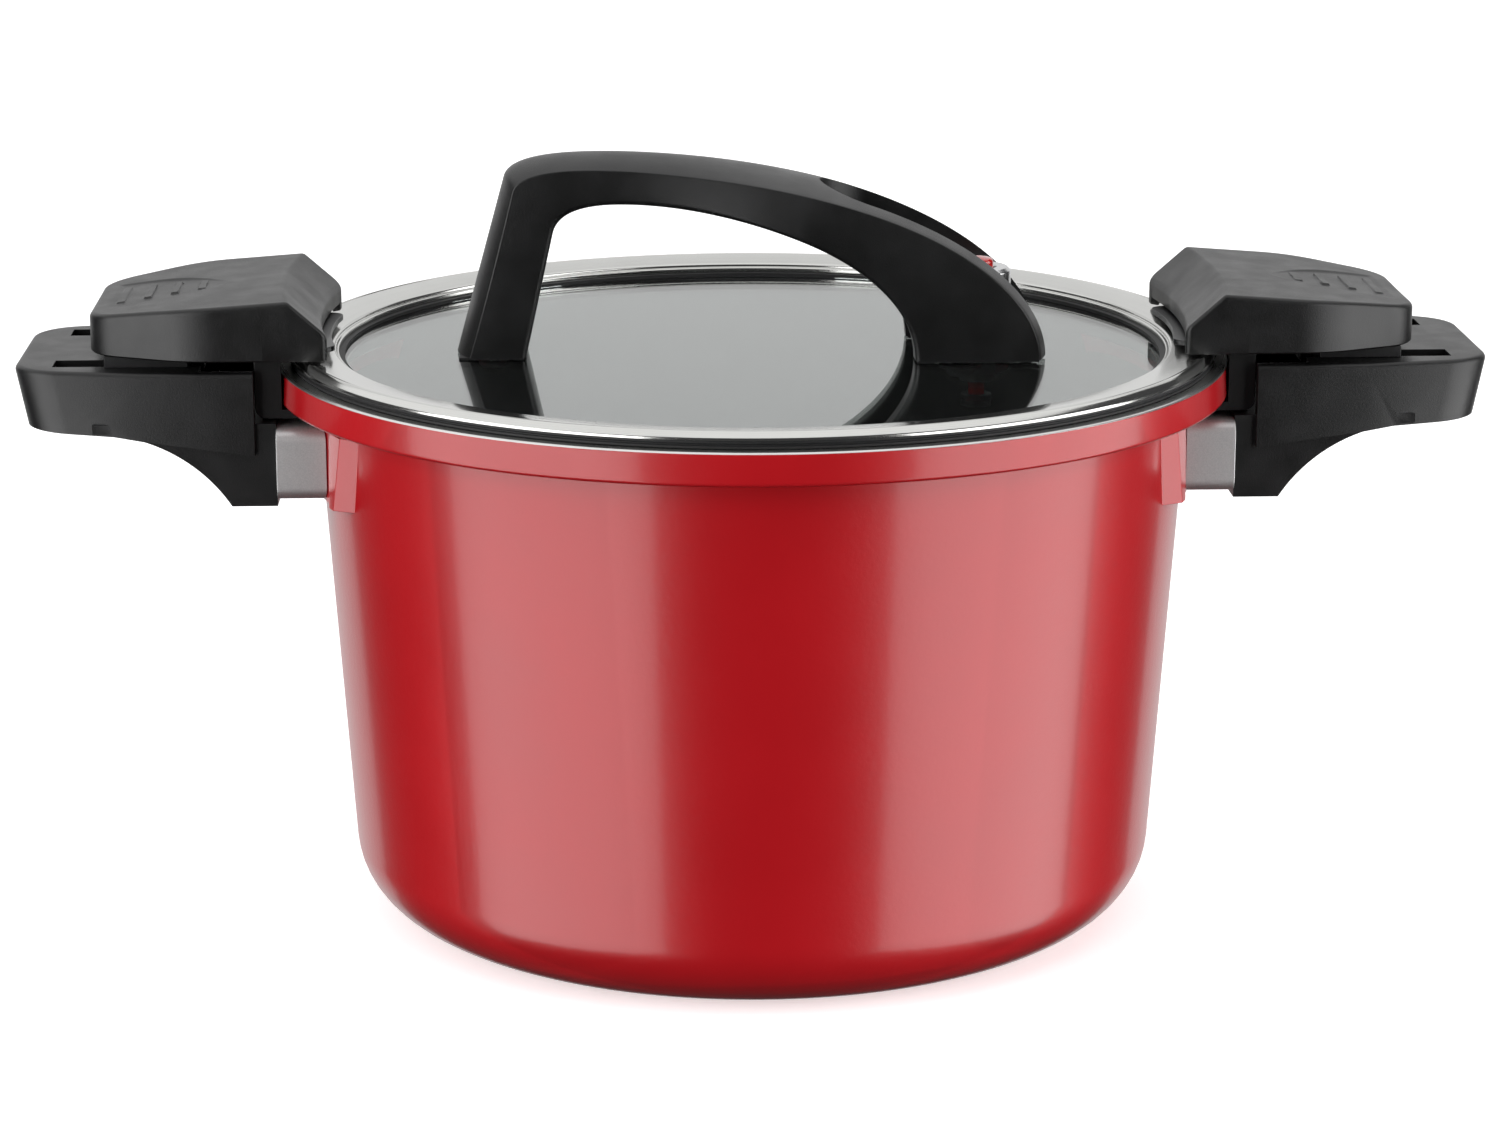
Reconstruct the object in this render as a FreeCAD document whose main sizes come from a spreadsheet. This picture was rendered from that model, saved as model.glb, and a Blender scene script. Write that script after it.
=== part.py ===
"""Stovetop pressure cooker: coated pot, glass lid with arched handle and two slide locks.

Millimetres. The origin is the centre of the pot's base, +Z is up, +X runs to the right-hand handle.
Heights named in the sheet as "above the rim" are measured from the rim's ground top face.
"""
import FreeCAD, Part
import math
import os
import Sketcher

doc = FreeCAD.newDocument("pressure_cooker")
sheet = doc.addObject("Spreadsheet::Sheet", "sizes")
NODES = []
UP = FreeCAD.Vector(0, 0, 1)


class Size:
    """A length of the model: its value, and the expression that rebuilds it."""

    def __init__(self, text, value):
        self.text = text
        self.value = value

    @staticmethod
    def of(number):
        return number if isinstance(number, Size) else Size(f"({number:.6g})", float(number))

    def __add__(self, other):
        other = Size.of(other)
        return Size(f"({self.text} + {other.text})", self.value + other.value)

    def __sub__(self, other):
        other = Size.of(other)
        return Size(f"({self.text} - {other.text})", self.value - other.value)

    def __rsub__(self, other):
        return Size.of(other) - self

    def __mul__(self, other):
        other = Size.of(other)
        return Size(f"({self.text} * {other.text})", self.value * other.value)

    def __truediv__(self, other):
        other = Size.of(other)
        return Size(f"({self.text} / {other.text})", self.value / other.value)

    def __neg__(self):
        return Size(f"(0 - {self.text})", -self.value)

    __radd__ = __add__
    __rmul__ = __mul__


def name_sizes(**values):
    """Write named sizes into the sheet and hand them back."""
    named = []
    for alias, value in values.items():
        name_sizes.row += 1
        sheet.set(f"A{name_sizes.row}", alias.replace("_", " "))
        sheet.set(f"B{name_sizes.row}", f"{value:g}")
        sheet.setAlias(f"B{name_sizes.row}", alias)
        named.append(Size(f"sizes.{alias}", float(value)))
    return named


name_sizes.row = 0

# Pot. The wall leans out towards the rim; a thick collar carries the locks.
(rim_height, collar_radius, collar_height, rim_lean, rim_width, collar_step, wall_lean,
 corner_radius, wall_thickness, base_thickness, inner_corner, plate_radius, plate_thickness,
 plate_gap, rim_edge) = name_sizes(
    rim_height=161.5, collar_radius=135.5, collar_height=9.1, rim_lean=0.5, rim_width=13.6,
    collar_step=11.1, wall_lean=10.5, corner_radius=22.5, wall_thickness=3.6,
    base_thickness=6.0, inner_corner=18.0, plate_radius=84.0, plate_thickness=1.4,
    plate_gap=0.3, rim_edge=1.0)
rim_radius = collar_radius - rim_lean
rim_bore = rim_radius - rim_width
wall_top_radius = collar_radius - collar_step
wall_foot_radius = wall_top_radius - wall_lean

# Lid: pressed ring, glass, its gasket and the rim seal, fitted to the pot's bore and rim.
(lid_play, ring_sheet, gasket_side, gasket_above, gasket_below, gasket_grip, hem_sheet, hem_reach,
 ledge_reach, ledge_rise, ring_set_in, ring_crown, ring_crown_in, ring_mouth, ring_inner_top,
 ring_foot, ring_lip, glass_top, glass_thickness, soft_fit, seal_in, seal_out,
 seal_groove) = name_sizes(
    lid_play=1.5, ring_sheet=1.0, gasket_side=1.9, gasket_above=0.9, gasket_below=1.0,
    gasket_grip=1.1, hem_sheet=1.0, hem_reach=2.0, ledge_reach=1.5, ledge_rise=1.5,
    ring_set_in=3.0, ring_crown=4.7, ring_crown_in=2.2, ring_mouth=1.2, ring_inner_top=3.2,
    ring_foot=2.4, ring_lip=1.0, glass_top=-0.2, glass_thickness=5.0, soft_fit=0.05,
    seal_in=1.2, seal_out=0.8, seal_groove=0.5)
skirt_radius = rim_bore - lid_play
groove_radius = skirt_radius - ring_sheet
glass_radius = groove_radius - gasket_side
gasket_lip = glass_radius - gasket_grip
hem_radius = glass_radius - hem_reach
ledge_radius = groove_radius - ledge_reach
ring_inner = ledge_radius + ring_mouth
ring_radius = rim_radius - ring_set_in
ring_crown_radius = ring_radius - ring_crown_in
seal_inner = rim_bore + seal_in
seal_outer = ring_radius - seal_out
glass_foot = glass_top - glass_thickness
groove_top = glass_top + gasket_above
groove_foot = glass_foot - gasket_below
skirt_foot = groove_foot - hem_sheet
ledge_top = groove_top + ledge_rise
ring_edge = ring_foot + ring_lip

# Lock jaw: a sheet over the lid ring whose claw hooks under the pot's collar.
(jaw_sheet, jaw_clear, tongue_lap, tongue_half, tongue_corner, tongue_spare, plate_half,
 plate_length, jaw_play, claw_skin, claw_clear, claw_sheet, claw_gap, claw_corner, claw_half,
 claw_step) = name_sizes(
    jaw_sheet=1.5, jaw_clear=0.3, tongue_lap=0.9, tongue_half=26.0, tongue_corner=4.0,
    tongue_spare=9.5, plate_half=26.0, plate_length=35.7, jaw_play=0.5, claw_skin=3.3,
    claw_clear=0.4, claw_sheet=2.5, claw_gap=3.1, claw_corner=3.0, claw_half=33.5,
    claw_step=2.5)
jaw_top = ring_crown + jaw_clear + jaw_sheet
tongue_curve = ring_inner + tongue_lap
tongue_start = tongue_curve - tongue_spare
claw_face = collar_radius + jaw_play + claw_skin
claw_foot = -(collar_height + claw_clear + claw_sheet)
claw_reach = wall_top_radius + claw_gap
claw_notch = claw_reach + claw_step
plate_end = claw_face + plate_length

# Steel sleeves, and the cast studs and wall pads that they sit on.
(sleeve_half, sleeve_drop, sleeve_height, sleeve_wall, sleeve_end, sleeve_gap, sleeve_corner,
 stud_half, stud_room, stud_inset, pad_reach, pad_side, pad_lip, pad_sole) = name_sizes(
    sleeve_half=38.5, sleeve_drop=2.0, sleeve_height=20.4, sleeve_wall=1.2, sleeve_end=1.3,
    sleeve_gap=0.3, sleeve_corner=4.0, stud_half=24.0, stud_room=2.4, stud_inset=3.3,
    pad_reach=1.0, pad_side=4.5, pad_lip=0.7, pad_sole=0.6)
sleeve_top = claw_foot - sleeve_drop
sleeve_foot = sleeve_top - sleeve_height
stud_top = sleeve_top - sleeve_wall - stud_room
stud_foot = sleeve_foot + sleeve_wall + stud_room
stud_end = collar_radius - stud_inset
neck_face = stud_end + sleeve_end
pad_core = wall_top_radius - wall_thickness
pad_radius = wall_top_radius + pad_reach
pad_half = sleeve_half + pad_side
pad_top = sleeve_top + pad_lip
pad_foot = sleeve_foot - pad_sole

# Handle screws, which run along X into the studs.
(screw_radius, screw_fit, screw_clear, screw_side, screw_grip, neck_skin, head_radius,
 head_height, washer_reach, washer_thickness, washer_play, thread_spare) = name_sizes(
    screw_radius=2.5, screw_fit=0.05, screw_clear=0.4, screw_side=14.0, screw_grip=7.7,
    neck_skin=8.0, head_radius=4.6, head_height=3.2, washer_reach=0.6, washer_thickness=1.0,
    washer_play=0.8, thread_spare=0.5)
screw_hole = screw_radius + screw_clear
screw_height = (sleeve_top + sleeve_foot) / 2
screw_seat = neck_face + neck_skin
screw_tip = stud_end - screw_grip
washer_radius = head_radius + washer_reach

# Slides: the cover, and the shoes that run in the tray's tracks.
(slide_travel, cover_drop, tip_back, lip_height, ridge_height, ridge_reach, cover_half,
 shoulder_back, end_back, cover_end_half, cover_end_top, shoulder_round, end_round, tip_curve,
 cover_wall, tip_wall, relief_clear, relief_side, cover_edge, crown_back, crown_height,
 crown_slope) = name_sizes(
    slide_travel=14.0, cover_drop=1.4, tip_back=2.5, lip_height=12.3, ridge_height=21.6,
    ridge_reach=10.4, cover_half=39.3, shoulder_back=18.7, end_back=46.3, cover_end_half=27.0,
    cover_end_top=15.9, shoulder_round=38.0, end_round=14.0, tip_curve=220.0, cover_wall=2.8,
    tip_wall=3.5, relief_clear=0.6, relief_side=2.1, cover_edge=1.2, crown_back=20.7,
    crown_height=19.6, crown_slope=0.0725)
cover_foot = jaw_top - cover_drop
cover_tip = tongue_curve + tip_back
cover_shoulder = claw_face + shoulder_back
cover_end = claw_face + end_back
crown_place = claw_face + crown_back
lid_relief = jaw_top + relief_clear
relief_half = claw_half + relief_side
(track_middle, track_half, shoe_back, shoe_length, shoe_lip, shoe_play, shoe_drop, shoe_skin,
 post_radius, small_screw, small_head, small_head_height, small_clear, small_grip,
 driver_play) = name_sizes(
    track_middle=22.5, track_half=4.6, shoe_back=18.7, shoe_length=23.0, shoe_lip=1.8,
    shoe_play=0.3, shoe_drop=0.3, shoe_skin=2.2, post_radius=4.6, small_screw=1.5,
    small_head=3.0, small_head_height=2.0, small_clear=0.4, small_grip=4.5, driver_play=1.2)
shoe_start = claw_face + shoe_back
shoe_half = track_half + shoe_lip
post_place = shoe_start + shoe_length / 2
small_hole = small_screw + small_clear
small_tip = jaw_top + small_grip
driver_hole = small_head + driver_play

# Base handles: a tray for the slide on a curved neck.
(tray_gap, tray_margin, tray_half, tray_end_half, tray_top, tray_skin, tray_clear, tray_lean,
 tray_belly, tray_chin, neck_set_in, neck_sole, track_spare, hand_corner, tray_edge, knee_back,
 tray_knee_belly, tray_shoulder_back, cavity_side, cavity_spare, notch_play, cove_radius,
 cove_back, cove_skin) = name_sizes(
    tray_gap=0.1, tray_margin=7.4, tray_half=38.0, tray_end_half=31.5, tray_top=1.8,
    tray_skin=3.0, tray_clear=0.8, tray_lean=3.5, tray_belly=8.8, tray_chin=2.4,
    neck_set_in=2.1, neck_sole=1.8, track_spare=0.6, hand_corner=15.0, tray_edge=1.6,
    knee_back=38.7, tray_knee_belly=3.4, tray_shoulder_back=30.7, cavity_side=1.6,
    cavity_spare=1.4, notch_play=1.1, cove_radius=45.0, cove_back=44.8, cove_skin=2.6)
tray_inner = claw_face + tray_gap
tray_outer = cover_end + slide_travel + tray_margin
tray_floor = claw_foot - tray_clear
tray_depth_inner = tray_floor - tray_belly
tray_depth_outer = tray_floor - tray_chin
tray_knee = claw_face + knee_back
tray_knee_depth = tray_floor - tray_knee_belly
tray_shoulder = claw_face + tray_shoulder_back
neck_half = sleeve_half - neck_set_in
neck_foot = sleeve_foot - neck_sole
cavity_half = track_middle + shoe_half + cavity_side
cove_place = claw_face + cove_back
cove_height = tray_floor - cove_skin - cove_radius

# Thumb rest on the cover: a leaf-shaped hollow with four ribs.
(leaf_back, leaf_length, leaf_half, leaf_start_drop, leaf_end_drop, rib_count, rib_start,
 rib_pitch, rib_width, rib_rise, rib_root, rib_first_half, rib_last_half) = name_sizes(
    leaf_back=8.7, leaf_length=32.0, leaf_half=16.5, leaf_start_drop=1.1, leaf_end_drop=0.1,
    rib_count=4, rib_start=8.5, rib_pitch=7.0, rib_width=1.8, rib_rise=0.8, rib_root=2.0,
    rib_first_half=7.0, rib_last_half=12.5)
leaf_start = claw_face + leaf_back
leaf_end = leaf_start + leaf_length

# Valve with the pressure indicator, each ring fitted round the one inside it.
(pin_head, pin_top, pin_stem, pin_fit, head_play, spring_room, collar_lap, pin_collar, pin_rise,
 seal_spare, pin_chamfer, peg_radius, peg_length, stop_reach, stop_height, ring_height,
 spring_wire, spring_turns, spring_play) = name_sizes(
    pin_head=4.4, pin_top=26.5, pin_stem=2.45, pin_fit=0.05, head_play=0.35, spring_room=1.4,
    collar_lap=0.8, pin_collar=1.4, pin_rise=4.0, seal_spare=0.2, pin_chamfer=0.5,
    peg_radius=1.55, peg_length=1.0, stop_reach=1.95, stop_height=1.6, ring_height=1.6,
    spring_wire=0.4, spring_turns=5.0, spring_play=0.05)
(valve_place, valve_thread, thread_clear, thread_past, gasket_height, flange_lap, flange_top,
 tower_lap, tower_top, cap_play, cap_wall, cap_ceiling, cap_top, cap_chamfer, gasket_reach,
 gasket_play, lower_gasket, nut_reach, nut_height) = name_sizes(
    valve_place=64.3, valve_thread=5.0, thread_clear=1.2, thread_past=2.8, gasket_height=1.0,
    flange_lap=2.6, flange_top=2.5, tower_lap=0.6, tower_top=8.6, cap_play=0.7, cap_wall=1.5,
    cap_ceiling=21.2, cap_top=23.5, cap_chamfer=1.0, gasket_reach=5.0, gasket_play=0.4,
    lower_gasket=1.0, nut_reach=4.2, nut_height=4.5)
spring_radius = pin_head + spring_room
collar_reach = spring_radius + collar_lap
tower_radius = collar_reach + tower_lap
cap_radius = tower_radius + cap_play + cap_wall
flange_radius = cap_radius + flange_lap
stop_radius = pin_stem + stop_reach
valve_glass_hole = valve_thread + thread_clear
valve_foot = glass_foot - lower_gasket - nut_height - thread_past
gasket_radius = valve_thread + gasket_reach
nut_radius = valve_thread + nut_reach

# Lid handle: a leg on the left, an arch of two quarter curves, and a foot forked round the valve.
(handle_rise, handle_under, arch_start, arch_reach, arch_fullness, under_start, under_reach,
 under_fullness, leg_outer, leg_inner, shoulder_outer, shoulder_inner, shoulder_rise,
 shoulder_under, bar_half, fork_play, prong_width, flare_end, crown_drop, inner_ease,
 fork_nose) = name_sizes(
    handle_rise=56.9, handle_under=43.6, arch_start=-43.0, arch_reach=127.0, arch_fullness=1.9,
    under_start=-38.0, under_reach=83.0, under_fullness=1.97, leg_outer=-84.0, leg_inner=-64.3,
    shoulder_outer=-70.2, shoulder_inner=-56.5, shoulder_rise=50.2, shoulder_under=35.5,
    bar_half=12.7, fork_play=2.0, prong_width=8.0, flare_end=0.62, crown_drop=3.8,
    inner_ease=1.2, fork_nose=33.0)
fork_gap = flange_radius + fork_play
fork_half = fork_gap + prong_width
(pad_thickness, pad_margin, pad_end_margin, lid_screw, lid_clear, leg_screw_in, fork_screw_in,
 lid_screw_tip, lid_head, lid_head_height, lid_washer_reach, lid_washer_thickness) = name_sizes(
    pad_thickness=0.6, pad_margin=0.7, pad_end_margin=4.0, lid_screw=2.0, lid_clear=0.6,
    leg_screw_in=10.0, fork_screw_in=13.0, lid_screw_tip=8.0, lid_head=4.0, lid_head_height=2.4,
    lid_washer_reach=2.0, lid_washer_thickness=1.0)
lid_hole = lid_screw + lid_clear
lid_washer = lid_head + lid_washer_reach
lid_screw_left = leg_outer + leg_screw_in
lid_screw_right = under_start + under_reach + fork_screw_in
lid_screw_side = fork_gap + prong_width / 2
doc.recompute()

OVERCUT = 1.0  # how far a cutting tool runs past the face it opens
HEAD_SIDE, HEAD_TOP, HEAD_SOCKET = 0.6, 0.75, 0.4  # shares of a screw head's height and radius
LEAF_OUTLINE = ((0.0, 0.0), (0.25, 0.55), (0.6, 0.93), (1.0, 1.0))  # shares of its length and half
LEG_STEPS, BEND_STEPS, ARCH_STEPS = 5, 4, 10  # sections along each stretch of the lid handle


def above(height):
    """Turn a height above the rim into a height above the floor."""
    return rim_height + height


def origin_plane(body, role):
    """Find one of a body's own origin planes."""
    return next(item for item in body.Origin.OriginFeatures if item.Role == role)


def draw(body, role, points, lift=None):
    """Sketch a closed outline of straight sides whose corners are all held by sizes."""
    sketch = body.newObject("Sketcher::SketchObject", "outline")
    sketch.AttachmentSupport = (origin_plane(body, role), [""])
    sketch.MapMode = "FlatFace"
    if lift is not None:
        sketch.setExpression(".AttachmentOffset.Base.z", Size.of(lift).text)
    corners = [(Size.of(across), Size.of(along)) for across, along in points]
    hold_outline(sketch, corners)
    return sketch


def hold_outline(sketch, corners):
    """Add the outline's sides and hold each corner by two bound distances."""
    count = len(corners)
    places = [FreeCAD.Vector(across.value, along.value, 0) for across, along in corners]
    for side in range(count):
        sketch.addGeometry(Part.LineSegment(places[side], places[(side + 1) % count]), False)
    for side in range(count):
        sketch.addConstraint(Sketcher.Constraint("Coincident", side, 2, (side + 1) % count, 1))
    for side, (across, along) in enumerate(corners):
        for kind, size in (("DistanceX", across), ("DistanceY", along)):
            index = sketch.addConstraint(Sketcher.Constraint(kind, -1, 1, side, 1, size.value))
            sketch.setExpression(f"Constraints[{index}]", size.text)


def revolved(name, points):
    """Make a body by turning a half section about the Z axis."""
    body = doc.addObject("PartDesign::Body", name)
    sketch = draw(body, "XZ_Plane", points)
    turn = body.newObject("PartDesign::Revolution", "turned")
    turn.Profile = sketch
    turn.ReferenceAxis = (sketch, ["V_Axis"])
    turn.Angle = 360.0
    return body


def padded(name, role, points, depth, lift=None, symmetric=False):
    """Make a body by pushing an outline out of an origin plane."""
    body = doc.addObject("PartDesign::Body", name)
    sketch = draw(body, role, points, lift)
    pad = body.newObject("PartDesign::Pad", "pushed")
    pad.Profile = sketch
    pad.SideType = "Symmetric" if symmetric else "One side"
    pad.setExpression("Length", Size.of(depth).text)
    return body


def box(name, xs, ys, zs):
    """Make a block between three pairs of sizes."""
    block = doc.addObject("Part::Box", name)
    for side, axis, (low, high) in zip(("Length", "Width", "Height"), "xyz", (xs, ys, zs)):
        block.setExpression(side, (Size.of(high) - low).text)
        block.setExpression(f".Placement.Base.{axis}", Size.of(low).text)
    return block


def rod(name, radius, low, high, x=0.0, y=0.0):
    """Make an upright cylinder."""
    cylinder = doc.addObject("Part::Cylinder", name)
    cylinder.setExpression("Radius", Size.of(radius).text)
    cylinder.setExpression("Height", (Size.of(high) - low).text)
    place(cylinder, x, y, low)
    return cylinder


def bar(name, radius, near, far, y, z):
    """Make a cylinder that runs along X."""
    cylinder = doc.addObject("Part::Cylinder", name)
    cylinder.setExpression("Radius", Size.of(radius).text)
    cylinder.setExpression("Height", (Size.of(far) - near).text)
    cylinder.Placement = FreeCAD.Placement(FreeCAD.Vector(), FreeCAD.Rotation(FreeCAD.Vector(0, 1, 0), 90))
    place(cylinder, near, y, z)
    return cylinder


def place(thing, x, y, z):
    """Bind the place of an object."""
    for axis, size in zip("xyz", (x, y, z)):
        thing.setExpression(f".Placement.Base.{axis}", Size.of(size).text)


def fuse(name, *things):
    """Join solids into one."""
    joined = doc.addObject("Part::MultiFuse", name)
    joined.Shapes = list(things)
    joined.Refine = True
    return joined


def shared(name, *things):
    """Keep what the solids share."""
    kept = doc.addObject("Part::MultiCommon", name)
    kept.Shapes = list(things)
    kept.Refine = True
    return kept


def cut(name, base, *tools):
    """Take tools away from a base."""
    result = doc.addObject("Part::Cut", name)
    result.Base = base
    result.Tool = tools[0] if len(tools) == 1 else fuse(name + "_tools", *tools)
    result.Refine = True
    return result


def rounded(name, base, radius, chosen):
    """Round the edges for which the test holds."""
    doc.recompute()
    result = doc.addObject("Part::Fillet", name)
    result.Base = base
    result.Edges = [(index, radius.value, radius.value)
                    for index, edge in enumerate(base.Shape.Edges, 1) if chosen(edge)]
    return result


def is_upright(edge):
    """Tell whether an edge is straight and runs along Z."""
    return isinstance(edge.Curve, Part.Line) and abs(edge.tangentAt(edge.FirstParameter).z) > 0.999


def runs_along_x(edge):
    """Tell whether an edge is straight and runs along X."""
    return isinstance(edge.Curve, Part.Line) and abs(edge.tangentAt(edge.FirstParameter).x) > 0.999


def near_and_far(side):
    """Name a right-hand pair's two places, swapped where the half turn will swap them back."""
    return (("near", -1), ("far", 1)) if side == "right" else (("near", 1), ("far", -1))


def keep(thing, label):
    """List an object as a sub-part under its own label."""
    thing.Label = label
    NODES.append(thing)
    return thing


def keep_on_side(thing, side, label):
    """List a right-hand object on its own side; the left one is turned half round the pot."""
    if side == "left":
        thing.Placement = FreeCAD.Placement(FreeCAD.Vector(), FreeCAD.Rotation(UP, 180))
    return keep(thing, f"{side}_{label}")


# ---------------------------------------------------------------- pot
def make_pot():
    """The cast pot with its collar, wall pads, studs and a recess for the base plate."""
    collar_foot = rim_height - collar_height
    shell = revolved("pot_shell", [
        (0, 0), (wall_foot_radius, 0), (wall_top_radius, collar_foot), (collar_radius, collar_foot),
        (rim_radius, rim_height), (rim_bore, rim_height), (wall_top_radius - wall_thickness, collar_foot),
        (wall_foot_radius - wall_thickness, base_thickness), (0, base_thickness)])

    def is_ring(edge, radius, height):
        return (isinstance(edge.Curve, Part.Circle) and abs(edge.Curve.Radius - radius.value) < 0.1
                and abs(edge.Curve.Center.z - Size.of(height).value) < 0.1)

    shell = rounded("pot_foot", shell, corner_radius, lambda edge: is_ring(edge, wall_foot_radius, 0))
    shell = rounded("pot_well", shell, inner_corner,
                    lambda edge: is_ring(edge, wall_foot_radius - wall_thickness, base_thickness))
    shell = rounded("pot_rim", shell, rim_edge,
                    lambda edge: is_ring(edge, rim_radius, rim_height)
                    or is_ring(edge, collar_radius, collar_foot))
    low, high = above(pad_foot), above(pad_top)
    core = rod("pad_core_cut", pad_core, 0, rim_height)
    pad_block = box("pad_block", (-pad_radius, pad_radius), (-pad_half, pad_half), (low, high))
    pads = cut("wall_pads", shared("pad_round", pad_block, rod("pad_rod", pad_radius, low, high)), core)
    stud_core = rod("stud_core_cut", pad_core, 0, rim_height)
    studs = cut("wall_studs", box("stud_block", (-stud_end, stud_end), (-stud_half, stud_half),
                                  (above(stud_foot), above(stud_top))), stud_core)
    recess = rod("plate_recess", plate_radius + plate_gap, 0, plate_thickness)
    holes = []
    for name, near, far in (("right", screw_tip - thread_spare, stud_end + OVERCUT),
                            ("left", -stud_end - OVERCUT, thread_spare - screw_tip)):
        for sign in (-1, 1):
            holes.append(bar(f"{name}_thread_{sign + 1}", screw_radius + screw_fit, near, far,
                             screw_side * sign, above(screw_height)))
    keep(cut("pot_body", fuse("pot_cast", shell, pads, studs), recess, *holes), "pot_body")
    keep(revolved("base_plate", [(0, 0), (plate_radius, 0), (plate_radius, plate_thickness),
                                 (0, plate_thickness)]), "induction_base_plate")


# ---------------------------------------------------------------- side handles
def make_sleeve(side):
    """The steel sleeve: a closed-ended rectangular cup round the wall studs."""
    name = f"{side}_sleeve"
    low, high = above(sleeve_foot), above(sleeve_top)
    outer = box(name + "_outer", (wall_foot_radius, neck_face), (-sleeve_half, sleeve_half), (low, high))
    outer = rounded(name + "_round", outer, sleeve_corner, runs_along_x)
    inner = box(name + "_inner", (wall_foot_radius - OVERCUT, stud_end),
                (sleeve_wall - sleeve_half, sleeve_half - sleeve_wall),
                (low + sleeve_wall, high - sleeve_wall))
    inner = rounded(name + "_inner_round", inner, sleeve_corner - sleeve_wall, runs_along_x)
    scribe = rod(name + "_scribe", pad_radius + sleeve_gap, low - OVERCUT, high + OVERCUT)
    holes = [bar(f"{name}_hole_{sign + 1}", screw_hole, stud_end - OVERCUT, neck_face + OVERCUT,
                 screw_side * sign, above(screw_height)) for sign in (-1, 1)]
    keep_on_side(cut(name, outer, inner, scribe, *holes), side, "steel_sleeve")


def make_base_handle(side):
    """The moulded handle: a tray with two tracks, on a neck with a coved underside."""
    name = f"{side}_handle"
    profile = padded(name + "_profile", "XZ_Plane", [
        (tray_inner, above(tray_depth_inner)), (tray_knee, above(tray_knee_depth)),
        (tray_outer - tray_lean, above(tray_depth_outer)), (tray_outer, above(tray_top)),
        (tray_inner, above(tray_top))], tray_half * 2, symmetric=True)
    plan = padded(name + "_plan", "XY_Plane", [
        (neck_face, -tray_half), (tray_shoulder, -tray_half), (tray_outer, -tray_end_half),
        (tray_outer, tray_end_half), (tray_shoulder, tray_half), (neck_face, tray_half)], rim_height * 2)
    tray = shared(name + "_tray", profile, plan)
    tray = rounded(name + "_corners", tray, hand_corner,
                   lambda edge: edge.BoundBox.XMax > tray_outer.value - 1
                   and edge.BoundBox.ZLength > tray_edge.value * 2)
    tray = rounded(name + "_tray_round", tray, tray_edge,
                   lambda edge: edge.BoundBox.ZMin > above(tray_top).value - 0.01
                   and edge.BoundBox.XMax > tray_inner.value + 1)
    neck = box(name + "_neck", (neck_face, cove_place), (-neck_half, neck_half),
               (above(neck_foot), above(tray_floor)))
    cove = doc.addObject("Part::Cylinder", name + "_cove")
    cove.setExpression("Radius", cove_radius.text)
    cove.setExpression("Height", (tray_half * 2).text)
    cove.Placement = FreeCAD.Placement(FreeCAD.Vector(), FreeCAD.Rotation(FreeCAD.Vector(1, 0, 0), -90))
    place(cove, cove_place, -tray_half, above(cove_height))
    neck = cut(name + "_coved", neck, cove)
    notch_end = claw_face + slide_travel + track_spare * 2
    track_end = shoe_start + shoe_length + slide_travel + track_spare
    notch_half = claw_half + notch_play
    cavity = box(name + "_cavity", (notch_end - OVERCUT, track_end + cavity_spare),
                 (-cavity_half, cavity_half), (above(tray_floor), above(tray_top) - tray_skin))
    notch = box(name + "_notch", (neck_face - OVERCUT, notch_end), (-notch_half, notch_half),
                (above(tray_floor), above(tray_top) + OVERCUT))
    tools = [cavity, notch]
    for sign in (-1, 1):
        middle = track_middle * sign
        tools.append(box(f"{name}_track_{sign + 1}", (notch_end - OVERCUT, track_end),
                         (middle - track_half, middle + track_half),
                         (above(tray_top) - tray_skin - OVERCUT, above(tray_top) + OVERCUT)))
        tools.append(rod(f"{name}_driver_{sign + 1}", driver_hole, above(tray_depth_inner),
                         above(tray_floor) + OVERCUT, post_place, middle))
        tools.append(bar(f"{name}_bore_{sign + 1}", screw_hole, neck_face - OVERCUT,
                         screw_seat + OVERCUT, screw_side * sign, above(screw_height)))
        tools.append(bar(f"{name}_seat_{sign + 1}", washer_radius + washer_play, screw_seat,
                         cove_place, screw_side * sign, above(screw_height)))
    keep_on_side(cut(name, fuse(name + "_whole", tray, neck), *tools), side, "base_handle")


def lay_along_x(thing, side, x, y, z):
    """Lay an upright turned piece along X, pointing away from the pot."""
    outwards = 1 if side == "right" else -1
    turn = FreeCAD.Rotation(FreeCAD.Vector(0, 1, 0), 90 * outwards)
    thing.Placement = FreeCAD.Placement(FreeCAD.Vector(), turn)
    place(thing, x * outwards, y, z)


def make_handle_screws(side):
    """Two screws with washers that clamp the neck and the sleeve to the wall studs."""
    length = screw_seat + washer_thickness - screw_tip
    for place_name, sign in (("near", -1), ("far", 1)):
        screw = revolved(f"{side}_{place_name}_screw", [
            (0, 0), (screw_radius, 0), (screw_radius, length), (head_radius, length),
            (head_radius, length + head_height * HEAD_SIDE), (head_radius * HEAD_TOP, length + head_height),
            (head_radius * HEAD_SOCKET, length + head_height), (0, length + head_height * HEAD_SOCKET)])
        lay_along_x(screw, side, screw_tip, screw_side * sign, above(screw_height))
        keep(screw, f"{side}_handle_screw_{place_name}")
        washer = revolved(f"{side}_{place_name}_washer", [
            (screw_hole, 0), (washer_radius, 0), (washer_radius, washer_thickness),
            (screw_hole, washer_thickness)])
        lay_along_x(washer, side, screw_seat, screw_side * sign, above(screw_height))
        keep(washer, f"{side}_handle_washer_{place_name}")


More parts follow.
